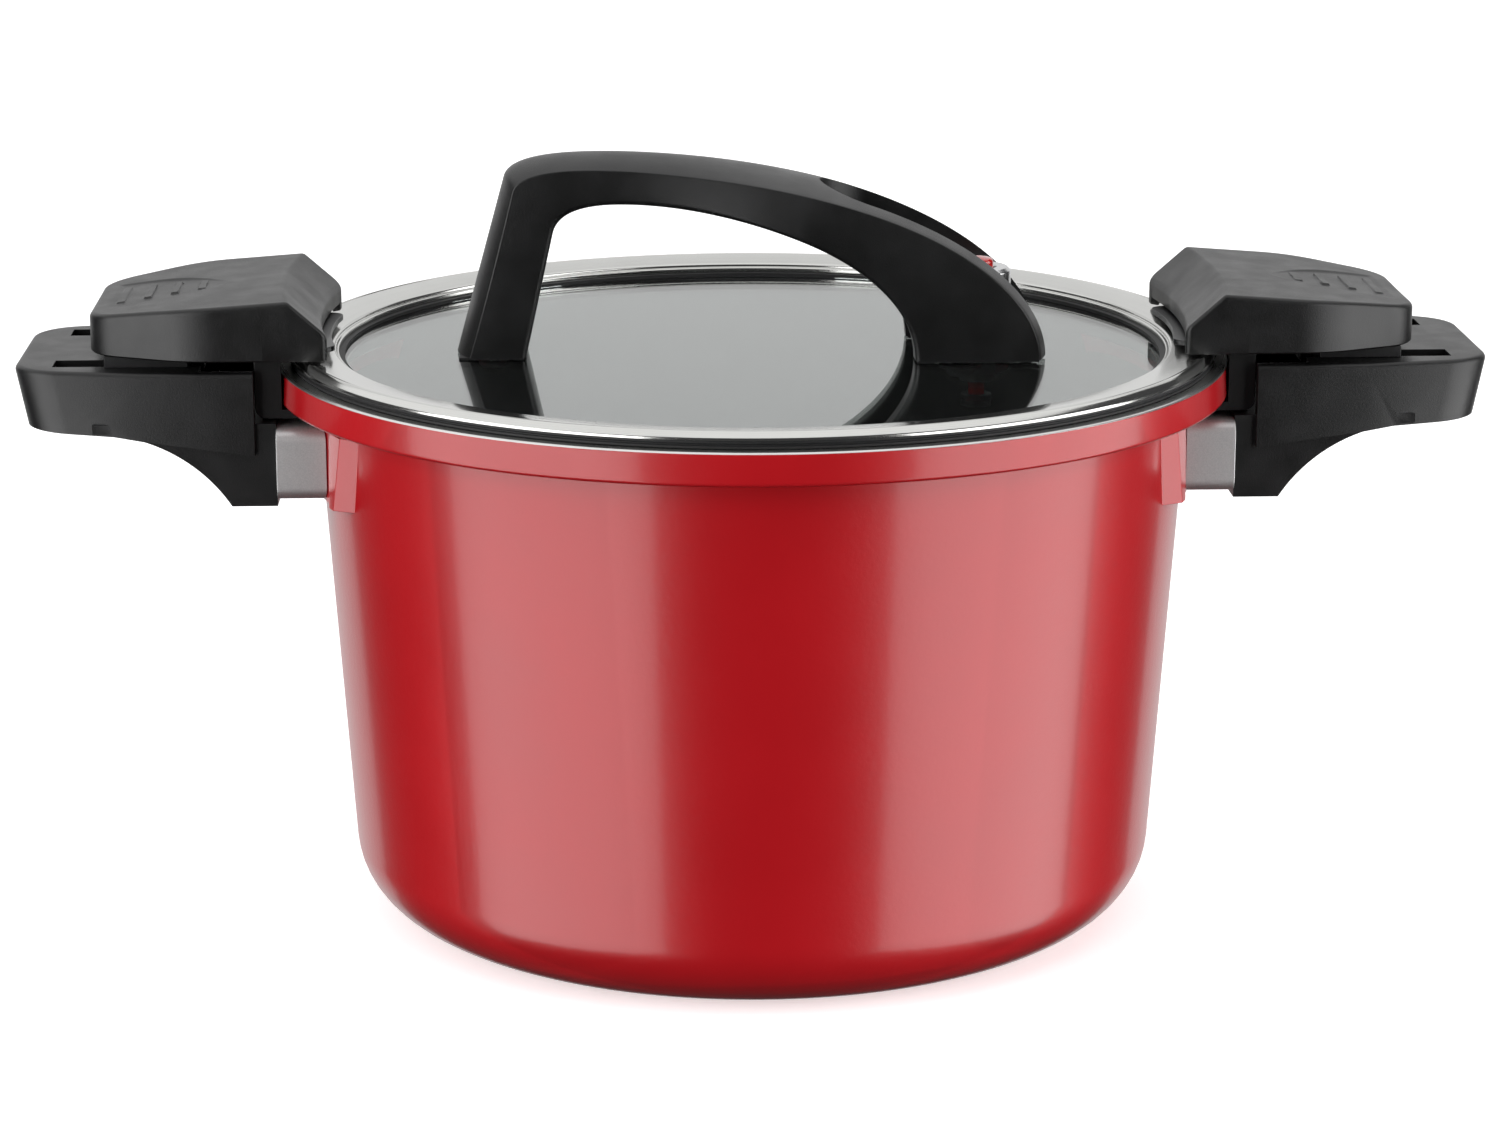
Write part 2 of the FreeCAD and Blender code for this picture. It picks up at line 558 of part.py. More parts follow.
# ---------------------------------------------------------------- slide locks
def cover_solid(name, inset, tip, foot, top_drop):
    """The cover's outside, or its hollow when the outline is set in."""
    profile = padded(name + "_profile", "XZ_Plane", [
        (tip, foot), (tip, above(crown_height) + crown_slope * (crown_place - tip) - top_drop),
        (crown_place, above(crown_height) - top_drop),
        (cover_end - inset, above(cover_end_top) - top_drop), (cover_end - inset, foot)],
        cover_half * 2, symmetric=True)
    plan = padded(name + "_plan", "XY_Plane", [
        (tongue_start, inset - cover_half), (cover_shoulder, inset - cover_half),
        (cover_end - inset, inset - cover_end_half), (cover_end - inset, cover_end_half - inset),
        (cover_shoulder, cover_half - inset), (tongue_start, cover_half - inset)],
        rim_height * 2)
    plan = rounded(name + "_shoulders", plan, shoulder_round,
                   lambda edge: is_upright(edge)
                   and abs(edge.BoundBox.XMax - cover_shoulder.value) < 0.1)
    plan = rounded(name + "_end", plan, end_round,
                   lambda edge: is_upright(edge)
                   and abs(edge.BoundBox.XMax - cover_end.value) < inset.value + 0.1)
    return shared(name + "_body", profile, plan)


def make_thumb_rest(name):
    """The leaf-shaped hollow in the cover's top, and the ribs that stand in it."""
    surface = above(ridge_height) - leaf_start_drop
    span = leaf_end - leaf_start
    slope = (surface - above(cover_end_top) + leaf_end_drop) / span
    roof = above(ridge_height) + OVERCUT
    wedge = padded(name + "_wedge", "XZ_Plane", [
        (leaf_start, surface), (leaf_end, surface - slope * span), (leaf_end, roof), (leaf_start, roof)],
        leaf_half * 2, symmetric=True)
    near_side = [(leaf_start + span * along, -leaf_half * across) for along, across in LEAF_OUTLINE]
    far_side = [(leaf_start + span * along, leaf_half * across) for along, across in LEAF_OUTLINE[:0:-1]]
    leaf = padded(name + "_leaf", "XY_Plane", near_side + far_side, rim_height * 2)
    hollow = shared(name + "_hollow", wedge, leaf)
    ribs = []
    count = int(rib_count.value)
    for index in range(count):
        middle = leaf_start + rib_start + rib_pitch * index
        half = rib_first_half + (rib_last_half - rib_first_half) * (index / (count - 1))
        top = surface - slope * (middle - leaf_start) + rib_rise
        ribs.append(box(f"{name}_rib_{index}", (middle - rib_width / 2, middle + rib_width / 2),
                        (-half, half), (top - rib_root, top)))
    return hollow, ribs


def make_cover(side):
    """The slide's cover: a hollow shell with a hollowed tip, a thumb rest and two screw posts."""
    name = f"{side}_cover"
    flush = Size.of(0.0)
    outer = cover_solid(name + "_outer", flush, tongue_start, above(cover_foot), flush)
    tip_middle = cover_tip - tip_curve
    reach = 1.3  # how far the bevel's cone runs on past the ridge
    tip = rod(name + "_tip", tip_curve, above(cover_foot) - OVERCUT, above(lip_height), tip_middle)
    bevel = doc.addObject("Part::Cone", name + "_bevel")
    bevel.setExpression("Radius1", tip_curve.text)
    bevel.setExpression("Radius2", (tip_curve + ridge_reach * reach).text)
    bevel.setExpression("Height", ((ridge_height - lip_height) * reach).text)
    place(bevel, tip_middle, 0, above(lip_height))
    outer = cut(name + "_tipped", outer, tip, bevel)
    outer = rounded(name + "_soft", outer, cover_edge,
                    lambda edge: edge.BoundBox.ZMax > above(lip_height).value + cover_edge.value / 2
                    and edge.BoundBox.ZMin > above(cover_foot).value + cover_edge.value)
    hollow = cover_solid(name + "_inner", cover_wall, cover_tip + tip_wall,
                         above(cover_foot) - OVERCUT, cover_wall)
    nose = box(name + "_nose", (cover_tip, cover_tip + ridge_reach + OVERCUT),
               (-cover_half, cover_half), (above(lip_height) - cover_wall / 2, above(ridge_height)))
    hollow = cut(name + "_hollow", hollow, nose)
    relief = box(name + "_relief", (tongue_start, cover_tip + tip_wall + OVERCUT / 2),
                 (-relief_half, relief_half), (above(cover_foot) - OVERCUT, above(lid_relief)))
    leaf, ribs = make_thumb_rest(name)
    shell = cut(name + "_shell", outer, hollow, relief, leaf)
    posts = []
    threads = []
    for sign in (-1, 1):
        posts.append(rod(f"{name}_post_{sign + 1}", post_radius, above(jaw_top),
                         above(cover_end_top), post_place, track_middle * sign))
        threads.append(rod(f"{name}_thread_{sign + 1}", small_screw + screw_fit,
                           above(jaw_top) - OVERCUT, above(small_tip) + thread_spare, post_place,
                           track_middle * sign))
    keep_on_side(cut(name, fuse(name + "_whole", shell, *ribs, *posts), *threads), side, "slide_cover")


def make_jaw(side):
    """The lock jaw: a tongue over the lid ring and a claw under the pot's collar."""
    name = f"{side}_jaw"
    sheet_foot = above(jaw_top) - jaw_sheet
    tongue = box(name + "_tongue", (tongue_start, claw_face), (-tongue_half, tongue_half),
                 (sheet_foot, above(jaw_top)))
    plate = box(name + "_plate", (claw_face, plate_end), (-plate_half, plate_half),
                (sheet_foot, above(jaw_top)))
    claw = box(name + "_claw", (tongue_start, claw_face), (-claw_half, claw_half),
               (above(claw_foot), above(jaw_top)))
    claw = rounded(name + "_claw_round", claw, claw_corner,
                   lambda edge: edge.BoundBox.YLength > 1 and edge.BoundBox.XMin > claw_face.value - 0.1
                   and edge.BoundBox.ZMax < above(claw_foot).value + 0.1)
    beside = [box(f"{name}_beside_{sign + 1}", (tongue_start, claw_notch),
                  sorted((tongue_half * sign, (claw_half + OVERCUT) * sign), key=lambda size: size.value),
                  (sheet_foot - OVERCUT, above(jaw_top) + OVERCUT)) for sign in (-1, 1)]
    claw = cut(name + "_claw_trimmed", claw, *beside)
    throat = rod(name + "_throat", collar_radius + jaw_play, above(claw_foot) + claw_sheet, sheet_foot)
    reach = rod(name + "_reach", claw_reach, above(claw_foot) - OVERCUT,
                above(claw_foot) + claw_sheet + OVERCUT)
    mouth = rod(name + "_mouth", tongue_curve, sheet_foot - OVERCUT, above(jaw_top) + OVERCUT)
    holes = [rod(f"{name}_hole_{sign + 1}", small_hole, sheet_foot - OVERCUT, above(jaw_top) + OVERCUT,
                 post_place, track_middle * sign) for sign in (-1, 1)]
    jaw = cut(name + "_sharp", fuse(name + "_whole", tongue, plate, claw), throat, reach, mouth, *holes)
    keep_on_side(rounded(name, jaw, tongue_corner,
                         lambda edge: is_upright(edge) and edge.BoundBox.XMax < tongue_curve.value),
                 side, "lock_jaw")


def make_shoes(side):
    """Two shoes of H section that hold the slide in the tray's tracks, and their screws."""
    shoe_end = shoe_start + shoe_length
    flange_top = above(tray_top) - tray_skin - shoe_drop
    flange_foot = flange_top - shoe_skin
    sheet_foot = above(jaw_top) - jaw_sheet
    for place_name, sign in near_and_far(side):
        name = f"{side}_{place_name}_shoe"
        middle = track_middle * sign
        wide = (middle - shoe_half, middle + shoe_half)
        narrow = (middle - track_half + shoe_play, middle + track_half - shoe_play)
        runner = box(name + "_runner", (shoe_start, shoe_end), wide, (above(tray_top), sheet_foot))
        web = box(name + "_web", (shoe_start, shoe_end), narrow, (flange_foot, sheet_foot))
        flange = box(name + "_flange", (shoe_start, shoe_end), wide, (flange_foot, flange_top))
        hole = rod(name + "_hole", small_hole, flange_foot - OVERCUT, sheet_foot + OVERCUT, post_place,
                   middle)
        keep_on_side(cut(name, fuse(name + "_whole", runner, web, flange), hole), side,
                     f"guide_shoe_{place_name}")
        head_foot = flange_foot - small_head_height
        screw = revolved(f"{side}_{place_name}_shoe_screw", [
            (0, head_foot + small_head_height / 2), (small_head * HEAD_SOCKET, head_foot),
            (small_head, head_foot),
            (small_head, flange_foot), (small_screw, flange_foot), (small_screw, above(small_tip)),
            (0, above(small_tip))])
        outwards = 1 if side == "right" else -1
        place(screw, post_place * outwards, middle * outwards, 0)
        keep(screw, f"{side}_shoe_screw_{place_name}")


# ---------------------------------------------------------------- lid
def make_lid():
    """The glass with its ring, gasket and rim seal."""
    ring = revolved("ring_section", [
        (ring_inner, above(ring_inner_top)), (ring_crown_radius, above(ring_crown)),
        (ring_radius, above(ring_edge)), (ring_radius, above(ring_foot)),
        (skirt_radius, above(ring_foot)), (skirt_radius, above(skirt_foot)),
        (hem_radius, above(skirt_foot)), (hem_radius, above(groove_foot)),
        (groove_radius, above(groove_foot)), (groove_radius, above(groove_top)),
        (ledge_radius, above(groove_top)), (ledge_radius, above(ledge_top)),
        (ring_inner, above(ledge_top))])
    keep(ring, "lid_ring")
    glass = rod("glass_disc", glass_radius, above(glass_foot), above(glass_top))
    low, high = above(glass_foot) - OVERCUT, above(glass_top) + OVERCUT
    holes = [rod("valve_glass_hole_cut", valve_glass_hole, low, high, valve_place)]
    for name, x, y in lid_screw_places():
        holes.append(rod(f"glass_hole_{name}", lid_hole, low, high, x, y))
    keep(cut("glass", glass, *holes), "lid_glass")
    keep(revolved("gasket_section", [
        (gasket_lip, above(groove_top)), (groove_radius - soft_fit, above(groove_top)),
        (groove_radius - soft_fit, above(groove_foot)), (gasket_lip, above(groove_foot)),
        (gasket_lip, above(glass_foot)), (glass_radius + soft_fit, above(glass_foot)),
        (glass_radius + soft_fit, above(glass_top)), (gasket_lip, above(glass_top))]), "glass_gasket")
    waist = ring_foot / 2
    keep(revolved("seal_section", [
        (seal_inner, rim_height), (seal_outer, rim_height), (seal_outer, above(waist - seal_groove)),
        (seal_outer - seal_groove, above(waist)), (seal_outer, above(waist + seal_groove)),
        (seal_outer, above(ring_foot)), (seal_inner, above(ring_foot))]), "rim_seal")


def lid_screw_places():
    """Name and place each screw that holds the lid handle."""
    return (("left", lid_screw_left, Size.of(0.0)), ("right_near", lid_screw_right, -lid_screw_side),
            ("right_far", lid_screw_right, lid_screw_side))


def bend(start, corner, end, part):
    """A point on the curve that leaves start towards the corner and arrives at end from it."""
    return tuple((1 - part) ** 2 * first + 2 * part * (1 - part) * middle + part ** 2 * last
                 for first, middle, last in zip(start, corner, end))


def side_line(leg, shoulder, shoulder_height, start, reach, crest, fullness):
    """Points up one side of the leg, round the shoulder and down the arch to the forked foot."""
    foot = (glass_top + pad_thickness).value
    rise = (shoulder_height.value - foot) / (shoulder.value - leg.value)
    corner = (leg.value + (crest.value - foot) / rise, crest.value)
    shoulder_point = (shoulder.value, shoulder_height.value)
    points = [bend((leg.value, foot), ((leg.value + shoulder.value) / 2, (foot + shoulder_height.value) / 2),
                   shoulder_point, step / LEG_STEPS) for step in range(LEG_STEPS)]
    points += [bend(shoulder_point, corner, (start.value, crest.value), step / BEND_STEPS)
               for step in range(BEND_STEPS)]
    for step in range(ARCH_STEPS + 1):
        angle = math.pi / 2 * step / ARCH_STEPS
        across = math.sin(angle) ** (2 / fullness.value)
        along = max(math.cos(angle), 0.0) ** (2 / fullness.value)
        points.append((start.value + reach.value * across, foot + (crest.value - foot) * along))
    return points


def handle_stations():
    """Pairs of outer and inner points along the lid handle, each with its half width."""
    outer = side_line(leg_outer, shoulder_outer, shoulder_rise, arch_start, arch_reach, handle_rise,
                      arch_fullness)
    inner = side_line(leg_inner, shoulder_inner, shoulder_under, under_start, under_reach, handle_under,
                      under_fullness)
    halves = []
    for across, _ in outer:
        share = min(1.0, max(0.0, (across - arch_start.value) / (arch_reach * flare_end).value))
        halves.append(bar_half.value + (fork_half - bar_half).value * share * share * (3 - 2 * share))
    return list(zip(outer, inner, halves))


def handle_section(outer, inner, half):
    """One cross-section of the lid handle: flat sides, a crowned outer face, an eased inner face."""
    outwards = FreeCAD.Vector(outer[0] - inner[0], 0, outer[1] - inner[1])
    edge_depth = outwards.Length - crown_drop.value
    outwards.normalize()
    start = FreeCAD.Vector(inner[0], 0, above(Size.of(inner[1])).value)
    ease = inner_ease.value

    def at(out, side):
        return start + outwards * out + FreeCAD.Vector(0, side, 0)

    crown = Part.Arc(at(edge_depth, half), at(edge_depth + crown_drop.value, 0), at(edge_depth, -half))
    corners = [at(edge_depth, -half), at(ease, -half), at(0, ease - half), at(0, half - ease),
               at(ease, half), at(edge_depth, half)]
    sides = [Part.makeLine(first, second) for first, second in zip(corners, corners[1:])]
    return Part.Wire([crown.toShape()] + sides)


def make_lid_handle():
    """The arched handle, forked round the valve, with pads under its feet and its screws."""
    arch = doc.addObject("Part::Feature", "handle_arch")
    arch.Shape = Part.makeLoft([handle_section(*station) for station in handle_stations()], True, False)
    foot = above(glass_top) + pad_thickness
    top = above(handle_rise) + OVERCUT
    gap = box("fork_gap_block", (fork_nose, arch_start + arch_reach + OVERCUT), (-fork_gap, fork_gap),
              (foot - OVERCUT, top))
    nose = rod("fork_nose_rod", fork_gap, foot - OVERCUT, top, fork_nose)
    threads = [rod(f"handle_thread_{name}", lid_screw + screw_fit, foot - OVERCUT,
                   above(lid_screw_tip) + thread_spare, x, y) for name, x, y in lid_screw_places()]
    keep(cut("lid_handle", arch, gap, nose, *threads), "lid_handle")

    right_foot = under_start + under_reach
    pads = (("left", (leg_outer + pad_margin, leg_inner - pad_margin),
             (pad_margin - bar_half, bar_half - pad_margin)),
            ("right_near", (right_foot + pad_margin, arch_start + arch_reach - pad_end_margin),
             (pad_margin - fork_half, -fork_gap - pad_margin)),
            ("right_far", (right_foot + pad_margin, arch_start + arch_reach - pad_end_margin),
             (fork_gap + pad_margin, fork_half - pad_margin)))
    for (name, x, y), (_, xs, ys) in zip(lid_screw_places(), pads):
        pad = box(f"foot_pad_{name}_block", xs, ys, (foot - pad_thickness, foot))
        hole = rod(f"foot_pad_{name}_hole", lid_hole, foot - OVERCUT, foot + OVERCUT, x, y)
        keep(cut(f"foot_pad_{name}", pad, hole), f"handle_foot_pad_{name}")
        washer_foot = above(glass_foot) - lid_washer_thickness
        washer = revolved(f"washer_{name}", [
            (lid_hole, washer_foot), (lid_washer, washer_foot), (lid_washer, above(glass_foot)),
            (lid_hole, above(glass_foot))])
        place(washer, x, y, 0)
        keep(washer, f"lid_screw_washer_{name}")
        head_foot = washer_foot - lid_head_height
        screw = revolved(f"screw_{name}", [
            (0, head_foot + lid_head_height / 2), (lid_head * HEAD_SOCKET, head_foot),
            (lid_head * HEAD_TOP, head_foot), (lid_head, washer_foot - lid_head_height * HEAD_SIDE),
            (lid_head, washer_foot), (lid_screw, washer_foot),
            (lid_screw, above(lid_screw_tip)), (0, above(lid_screw_tip))])
        place(screw, x, y, 0)
        keep(screw, f"lid_handle_screw_{name}")


# ---------------------------------------------------------------- valve
def keep_valve_part(label, points):
    """Turn a section about the valve's axis; the points' heights are above the rim."""
    part = revolved(label + "_section", [(radius, above(height)) for radius, height in points])
    place(part, valve_place, 0, 0)
    return keep(part, label)


def make_valve():
    """The pressure valve: body, nut and gaskets through the glass, cap, sprung indicator pin."""
    pin_bore = pin_stem + pin_fit
    flange_foot = glass_top + gasket_height
    keep_valve_part("valve_body", [
        (pin_bore, valve_foot), (valve_thread, valve_foot), (valve_thread, flange_foot),
        (flange_radius, flange_foot), (flange_radius, flange_top), (tower_radius, flange_top),
        (tower_radius, tower_top), (pin_bore, tower_top)])
    keep_valve_part("valve_gasket_upper", [
        (valve_thread + gasket_play, glass_top), (flange_radius - gasket_play, glass_top),
        (flange_radius - gasket_play, flange_foot), (valve_thread + gasket_play, flange_foot)])
    lower_foot = glass_foot - lower_gasket
    keep_valve_part("valve_gasket_lower", [
        (valve_thread + gasket_play, lower_foot), (gasket_radius, lower_foot),
        (gasket_radius, glass_foot), (valve_thread + gasket_play, glass_foot)])
    nut = doc.addObject("Part::Prism", "nut_block")
    nut.Polygon = 6
    nut.setExpression("Circumradius", nut_radius.text)
    nut.setExpression("Height", nut_height.text)
    place(nut, valve_place, 0, above(lower_foot) - nut_height)
    bore = rod("nut_bore", valve_thread + screw_fit, above(lower_foot) - nut_height - OVERCUT,
               above(lower_foot) + OVERCUT, valve_place)
    keep(cut("nut", nut, bore), "valve_nut")
    cap_mouth = pin_head + head_play
    keep_valve_part("valve_cap", [
        (cap_radius - cap_wall, flange_top), (cap_radius, flange_top),
        (cap_radius, cap_top - cap_chamfer), (cap_radius - cap_chamfer, cap_top), (cap_mouth, cap_top),
        (cap_mouth, cap_ceiling), (cap_radius - cap_wall, cap_ceiling)])
    make_indicator()


def make_indicator():
    """The pin with its stop and seal below the valve, and the spring that holds the pin down."""
    collar_top = tower_top + pin_collar
    seal_top = valve_foot - pin_rise - seal_spare
    stop_top = seal_top - ring_height
    stop_foot = stop_top - stop_height
    peg_foot = stop_top - peg_length
    keep_valve_part("indicator_pin", [
        (0, peg_foot), (peg_radius, peg_foot), (peg_radius, stop_top), (pin_stem, stop_top),
        (pin_stem, tower_top), (collar_reach, tower_top), (collar_reach, collar_top),
        (pin_head, collar_top), (pin_head, pin_top - pin_chamfer), (pin_head - pin_chamfer, pin_top),
        (0, pin_top)])
    socket = peg_radius + pin_fit
    keep_valve_part("pin_stop", [
        (0, stop_foot), (stop_radius, stop_foot), (stop_radius, stop_top), (socket, stop_top),
        (socket, peg_foot), (0, peg_foot)])
    keep_valve_part("pin_seal", [
        (pin_stem + soft_fit, stop_top), (stop_radius, stop_top), (stop_radius, seal_top),
        (pin_stem + soft_fit, seal_top)])
    coil_height = cap_ceiling - collar_top - (spring_wire + spring_play) * 2
    coil = doc.addObject("Part::Helix", "spring_line")
    coil.setExpression("Radius", spring_radius.text)
    coil.setExpression("Height", coil_height.text)
    coil.setExpression("Pitch", (coil_height / spring_turns).text)
    wire = doc.addObject("Part::Circle", "spring_wire_round")
    wire.setExpression("Radius", spring_wire.text)
    wire.Placement = FreeCAD.Placement(FreeCAD.Vector(), FreeCAD.Rotation(FreeCAD.Vector(1, 0, 0), 90))
    wire.setExpression(".Placement.Base.x", spring_radius.text)
    spring = doc.addObject("Part::Sweep", "spring")
    spring.Sections = [wire]
    spring.Spine = coil
    spring.Solid = True
    spring.Frenet = True
    place(spring, valve_place, 0, above(collar_top) + spring_wire + spring_play)
    keep(spring, "valve_spring")


make_pot()
for one_side in ("left", "right"):
    make_sleeve(one_side)
    make_base_handle(one_side)
    make_handle_screws(one_side)
    make_cover(one_side)
    make_jaw(one_side)
    make_shoes(one_side)
make_lid()
make_lid_handle()
make_valve()
doc.recompute()

failed = [item.Label for item in doc.Objects if {"Invalid", "Error"} & set(item.State)]
if failed:
    raise RuntimeError(f"objects that did not compute: {failed}")
for node in NODES:
    shape = node.Shape
    if shape.isNull() or not shape.isValid() or len(shape.Solids) != 1:
        raise RuntimeError(f"{node.Label}: not one valid solid ({len(shape.Solids)})")

os.makedirs("parts", exist_ok=True)
for node in NODES:
    node.Shape.exportStep(f"parts/{node.Label}.step")
    bounds = node.Shape.BoundBox
    print(f"{node.Label:32s} {node.Shape.Volume:10.0f} mm3  x {bounds.XMin:7.1f} {bounds.XMax:7.1f}"
          f"  y {bounds.YMin:7.1f} {bounds.YMax:7.1f}  z {bounds.ZMin:7.1f} {bounds.ZMax:7.1f}")
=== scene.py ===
"""Looks of a stovetop pressure cooker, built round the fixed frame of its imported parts.

Metres. The origin is the centre of the pot's base, +Z is up and +X runs to the right-hand handle.
Sections are drawn in millimetres, and heights in them are measured from the top of the pot's rim.
"""
import logging
import math
from dataclasses import dataclass, field
from enum import Enum

import bmesh
import bpy
import numpy as np
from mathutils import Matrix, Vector


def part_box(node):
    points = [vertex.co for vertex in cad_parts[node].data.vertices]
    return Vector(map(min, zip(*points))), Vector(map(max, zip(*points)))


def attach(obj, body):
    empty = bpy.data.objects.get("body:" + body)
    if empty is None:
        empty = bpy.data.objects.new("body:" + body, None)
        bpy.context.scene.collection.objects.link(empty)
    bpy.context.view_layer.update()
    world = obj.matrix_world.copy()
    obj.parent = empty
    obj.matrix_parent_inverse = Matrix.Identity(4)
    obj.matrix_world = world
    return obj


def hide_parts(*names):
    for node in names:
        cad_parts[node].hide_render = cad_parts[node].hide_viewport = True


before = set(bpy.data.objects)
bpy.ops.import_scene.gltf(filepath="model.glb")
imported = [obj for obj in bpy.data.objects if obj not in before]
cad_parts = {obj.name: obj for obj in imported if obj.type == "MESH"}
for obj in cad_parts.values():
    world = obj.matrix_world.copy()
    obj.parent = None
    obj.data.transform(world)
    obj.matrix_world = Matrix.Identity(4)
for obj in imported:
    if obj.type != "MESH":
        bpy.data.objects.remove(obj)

LOG = logging.getLogger("pressure_cooker")
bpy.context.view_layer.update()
MM = 0.001
MERGE = 2e-6
ROUNDING_STEPS = 3
TURNS = 320
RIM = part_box("pot_body")[1].z / MM
Points = list[tuple[float, float, float]]


class Side(Enum):
    """The two ends of the cooker; the value turns a right-hand shape half round the pot."""

    LEFT = -1
    RIGHT = 1

    @property
    def word(self) -> str:
        """The side's name as the nodes spell it."""
        return self.name.lower()


# ---------------------------------------------------------------- shapes
def eased(corners: Points, steps: int = 6, closed: bool = True) -> np.ndarray:
    """Round the corners of a flat outline.

    A corner of radius r becomes the circle's arc that touches both sides r / tan(half the corner's
    inner angle) away from it, drawn as a rational quadratic curve of weight sin(half the angle).

    Args:
        corners: Triples of across, along and radius.
        steps: Spans in each arc.
        closed: Whether the last corner joins the first; the ends of an open line stay sharp.

    Returns:
        An array of points, one row each, without repeats.
    """
    rows = np.array(corners, float)
    middle, radius = rows[:, :2], rows[:, 2].copy()
    if not closed:
        radius[[0, -1]] = 0.0
    back, onward = np.roll(middle, 1, 0) - middle, np.roll(middle, -1, 0) - middle
    back /= np.linalg.norm(back, axis=1)[:, None]
    onward /= np.linalg.norm(onward, axis=1)[:, None]
    half = 0.5 * np.arccos(np.clip((back * onward).sum(1), -1.0, 1.0))
    reach = (radius / np.maximum(np.tan(half), 1e-6))[:, None]
    part = np.linspace(0.0, 1.0, steps + 1)[None, :, None]
    weight = np.sin(half)[:, None, None]
    first, last = (1 - part) ** 2, part ** 2
    joint = 2 * weight * part * (1 - part)
    start, end = (middle + back * reach)[:, None], (middle + onward * reach)[:, None]
    arcs = (first * start + joint * middle[:, None] + last * end) / (first + joint + last)
    line = arcs.reshape(-1, 2)
    apart = np.linalg.norm(np.diff(line, axis=0), axis=1) > 1e-5
    line = line[np.concatenate([[True], apart])]
    if closed and np.linalg.norm(line[0] - line[-1]) < 1e-5:
        line = line[:-1]
    return line


def grid_faces(rows: int, columns: int, wrap_rows: bool, wrap_columns: bool) -> np.ndarray:
    """Number the four corners of each cell of a grid of points.

    Args:
        rows: Rows of points.
        columns: Points in a row.
        wrap_rows: Whether the last row joins the first.
        wrap_columns: Whether each row closes on itself.

    Returns:
        An array of cells, each with four point numbers.
    """
    row = np.arange(rows if wrap_rows else rows - 1)[:, None]
    column = np.arange(columns if wrap_columns else columns - 1)[None, :]
    below, beside = (row + 1) % rows, (column + 1) % columns
    cells = [row * columns + column, row * columns + beside, below * columns + beside,
             below * columns + column]
    return np.stack(cells, -1).reshape(-1, 4)


@dataclass
class Surface:
    """Points in millimetres and the faces between them, with a material number for each face."""

    points: np.ndarray
    faces: list[list[int]]
    coats: np.ndarray | None = None

    def turned(self, side: Side) -> "Surface":
        """Turn the surface half round the pot for the left-hand side.

        Args:
            side: The end of the cooker that it is for.

        Returns:
            The surface, unchanged on the right-hand side.
        """
        return Surface(self.points * np.array([side.value, side.value, 1.0]), self.faces, self.coats)


def grid_surface(points: np.ndarray, wrap_rows: bool = False, wrap_columns: bool = True,
                 capped: bool = False) -> Surface:
    """Make a surface from a grid of points.

    Args:
        points: An array of rows, columns and three coordinates.
        wrap_rows: Whether the last row joins the first.
        wrap_columns: Whether each row closes on itself.
        capped: Whether the first and last rows are closed with one face each.

    Returns:
        The surface.
    """
    rows, columns = points.shape[:2]
    faces = grid_faces(rows, columns, wrap_rows, wrap_columns).tolist()
    if capped:
        faces.append(list(range(columns))[::-1])
        faces.append(list(range((rows - 1) * columns, rows * columns)))
    return Surface(points.reshape(-1, 3), faces)


def turned_section(section: np.ndarray, axis_x: float = 0.0, segments: int = 256,
                   closed: bool = True) -> Surface:
    """Turn a half section about an upright axis: x = r cos a, y = r sin a, z = height above the rim.

    Args:
        section: Rows of radius and height above the rim.
        axis_x: The axis's place along X.
        segments: Steps round the axis.
        closed: Whether the section closes on itself, or starts and ends on the axis.

    Returns:
        The surface, one row for each point of the section.
    """
    angle = np.linspace(0.0, 2 * math.pi, segments, endpoint=False)[None, :]
    radius, height = section[:, :1], section[:, 1:]
    points = np.stack([axis_x + radius * np.cos(angle), radius * np.sin(angle),
                       RIM + height + 0 * angle], -1)
    return grid_surface(points, wrap_rows=closed)


def smooth_step(value: np.ndarray, width: float) -> np.ndarray:
    """Rise from 0 to 1 as value passes through 0 over a width, by 3t^2 - 2t^3."""
    part = np.clip(value / width + 0.5, 0.0, 1.0)
    return part * part * (3 - 2 * part)


def soft_lower(first: np.ndarray, second: np.ndarray, blend: float) -> np.ndarray:
    """The lower of two heights with the crease rounded over a blend, by a quadratic join."""
    share = np.clip(0.5 + 0.5 * (second - first) / blend, 0.0, 1.0)
    return second + (first - second) * share - blend * share * (1 - share)


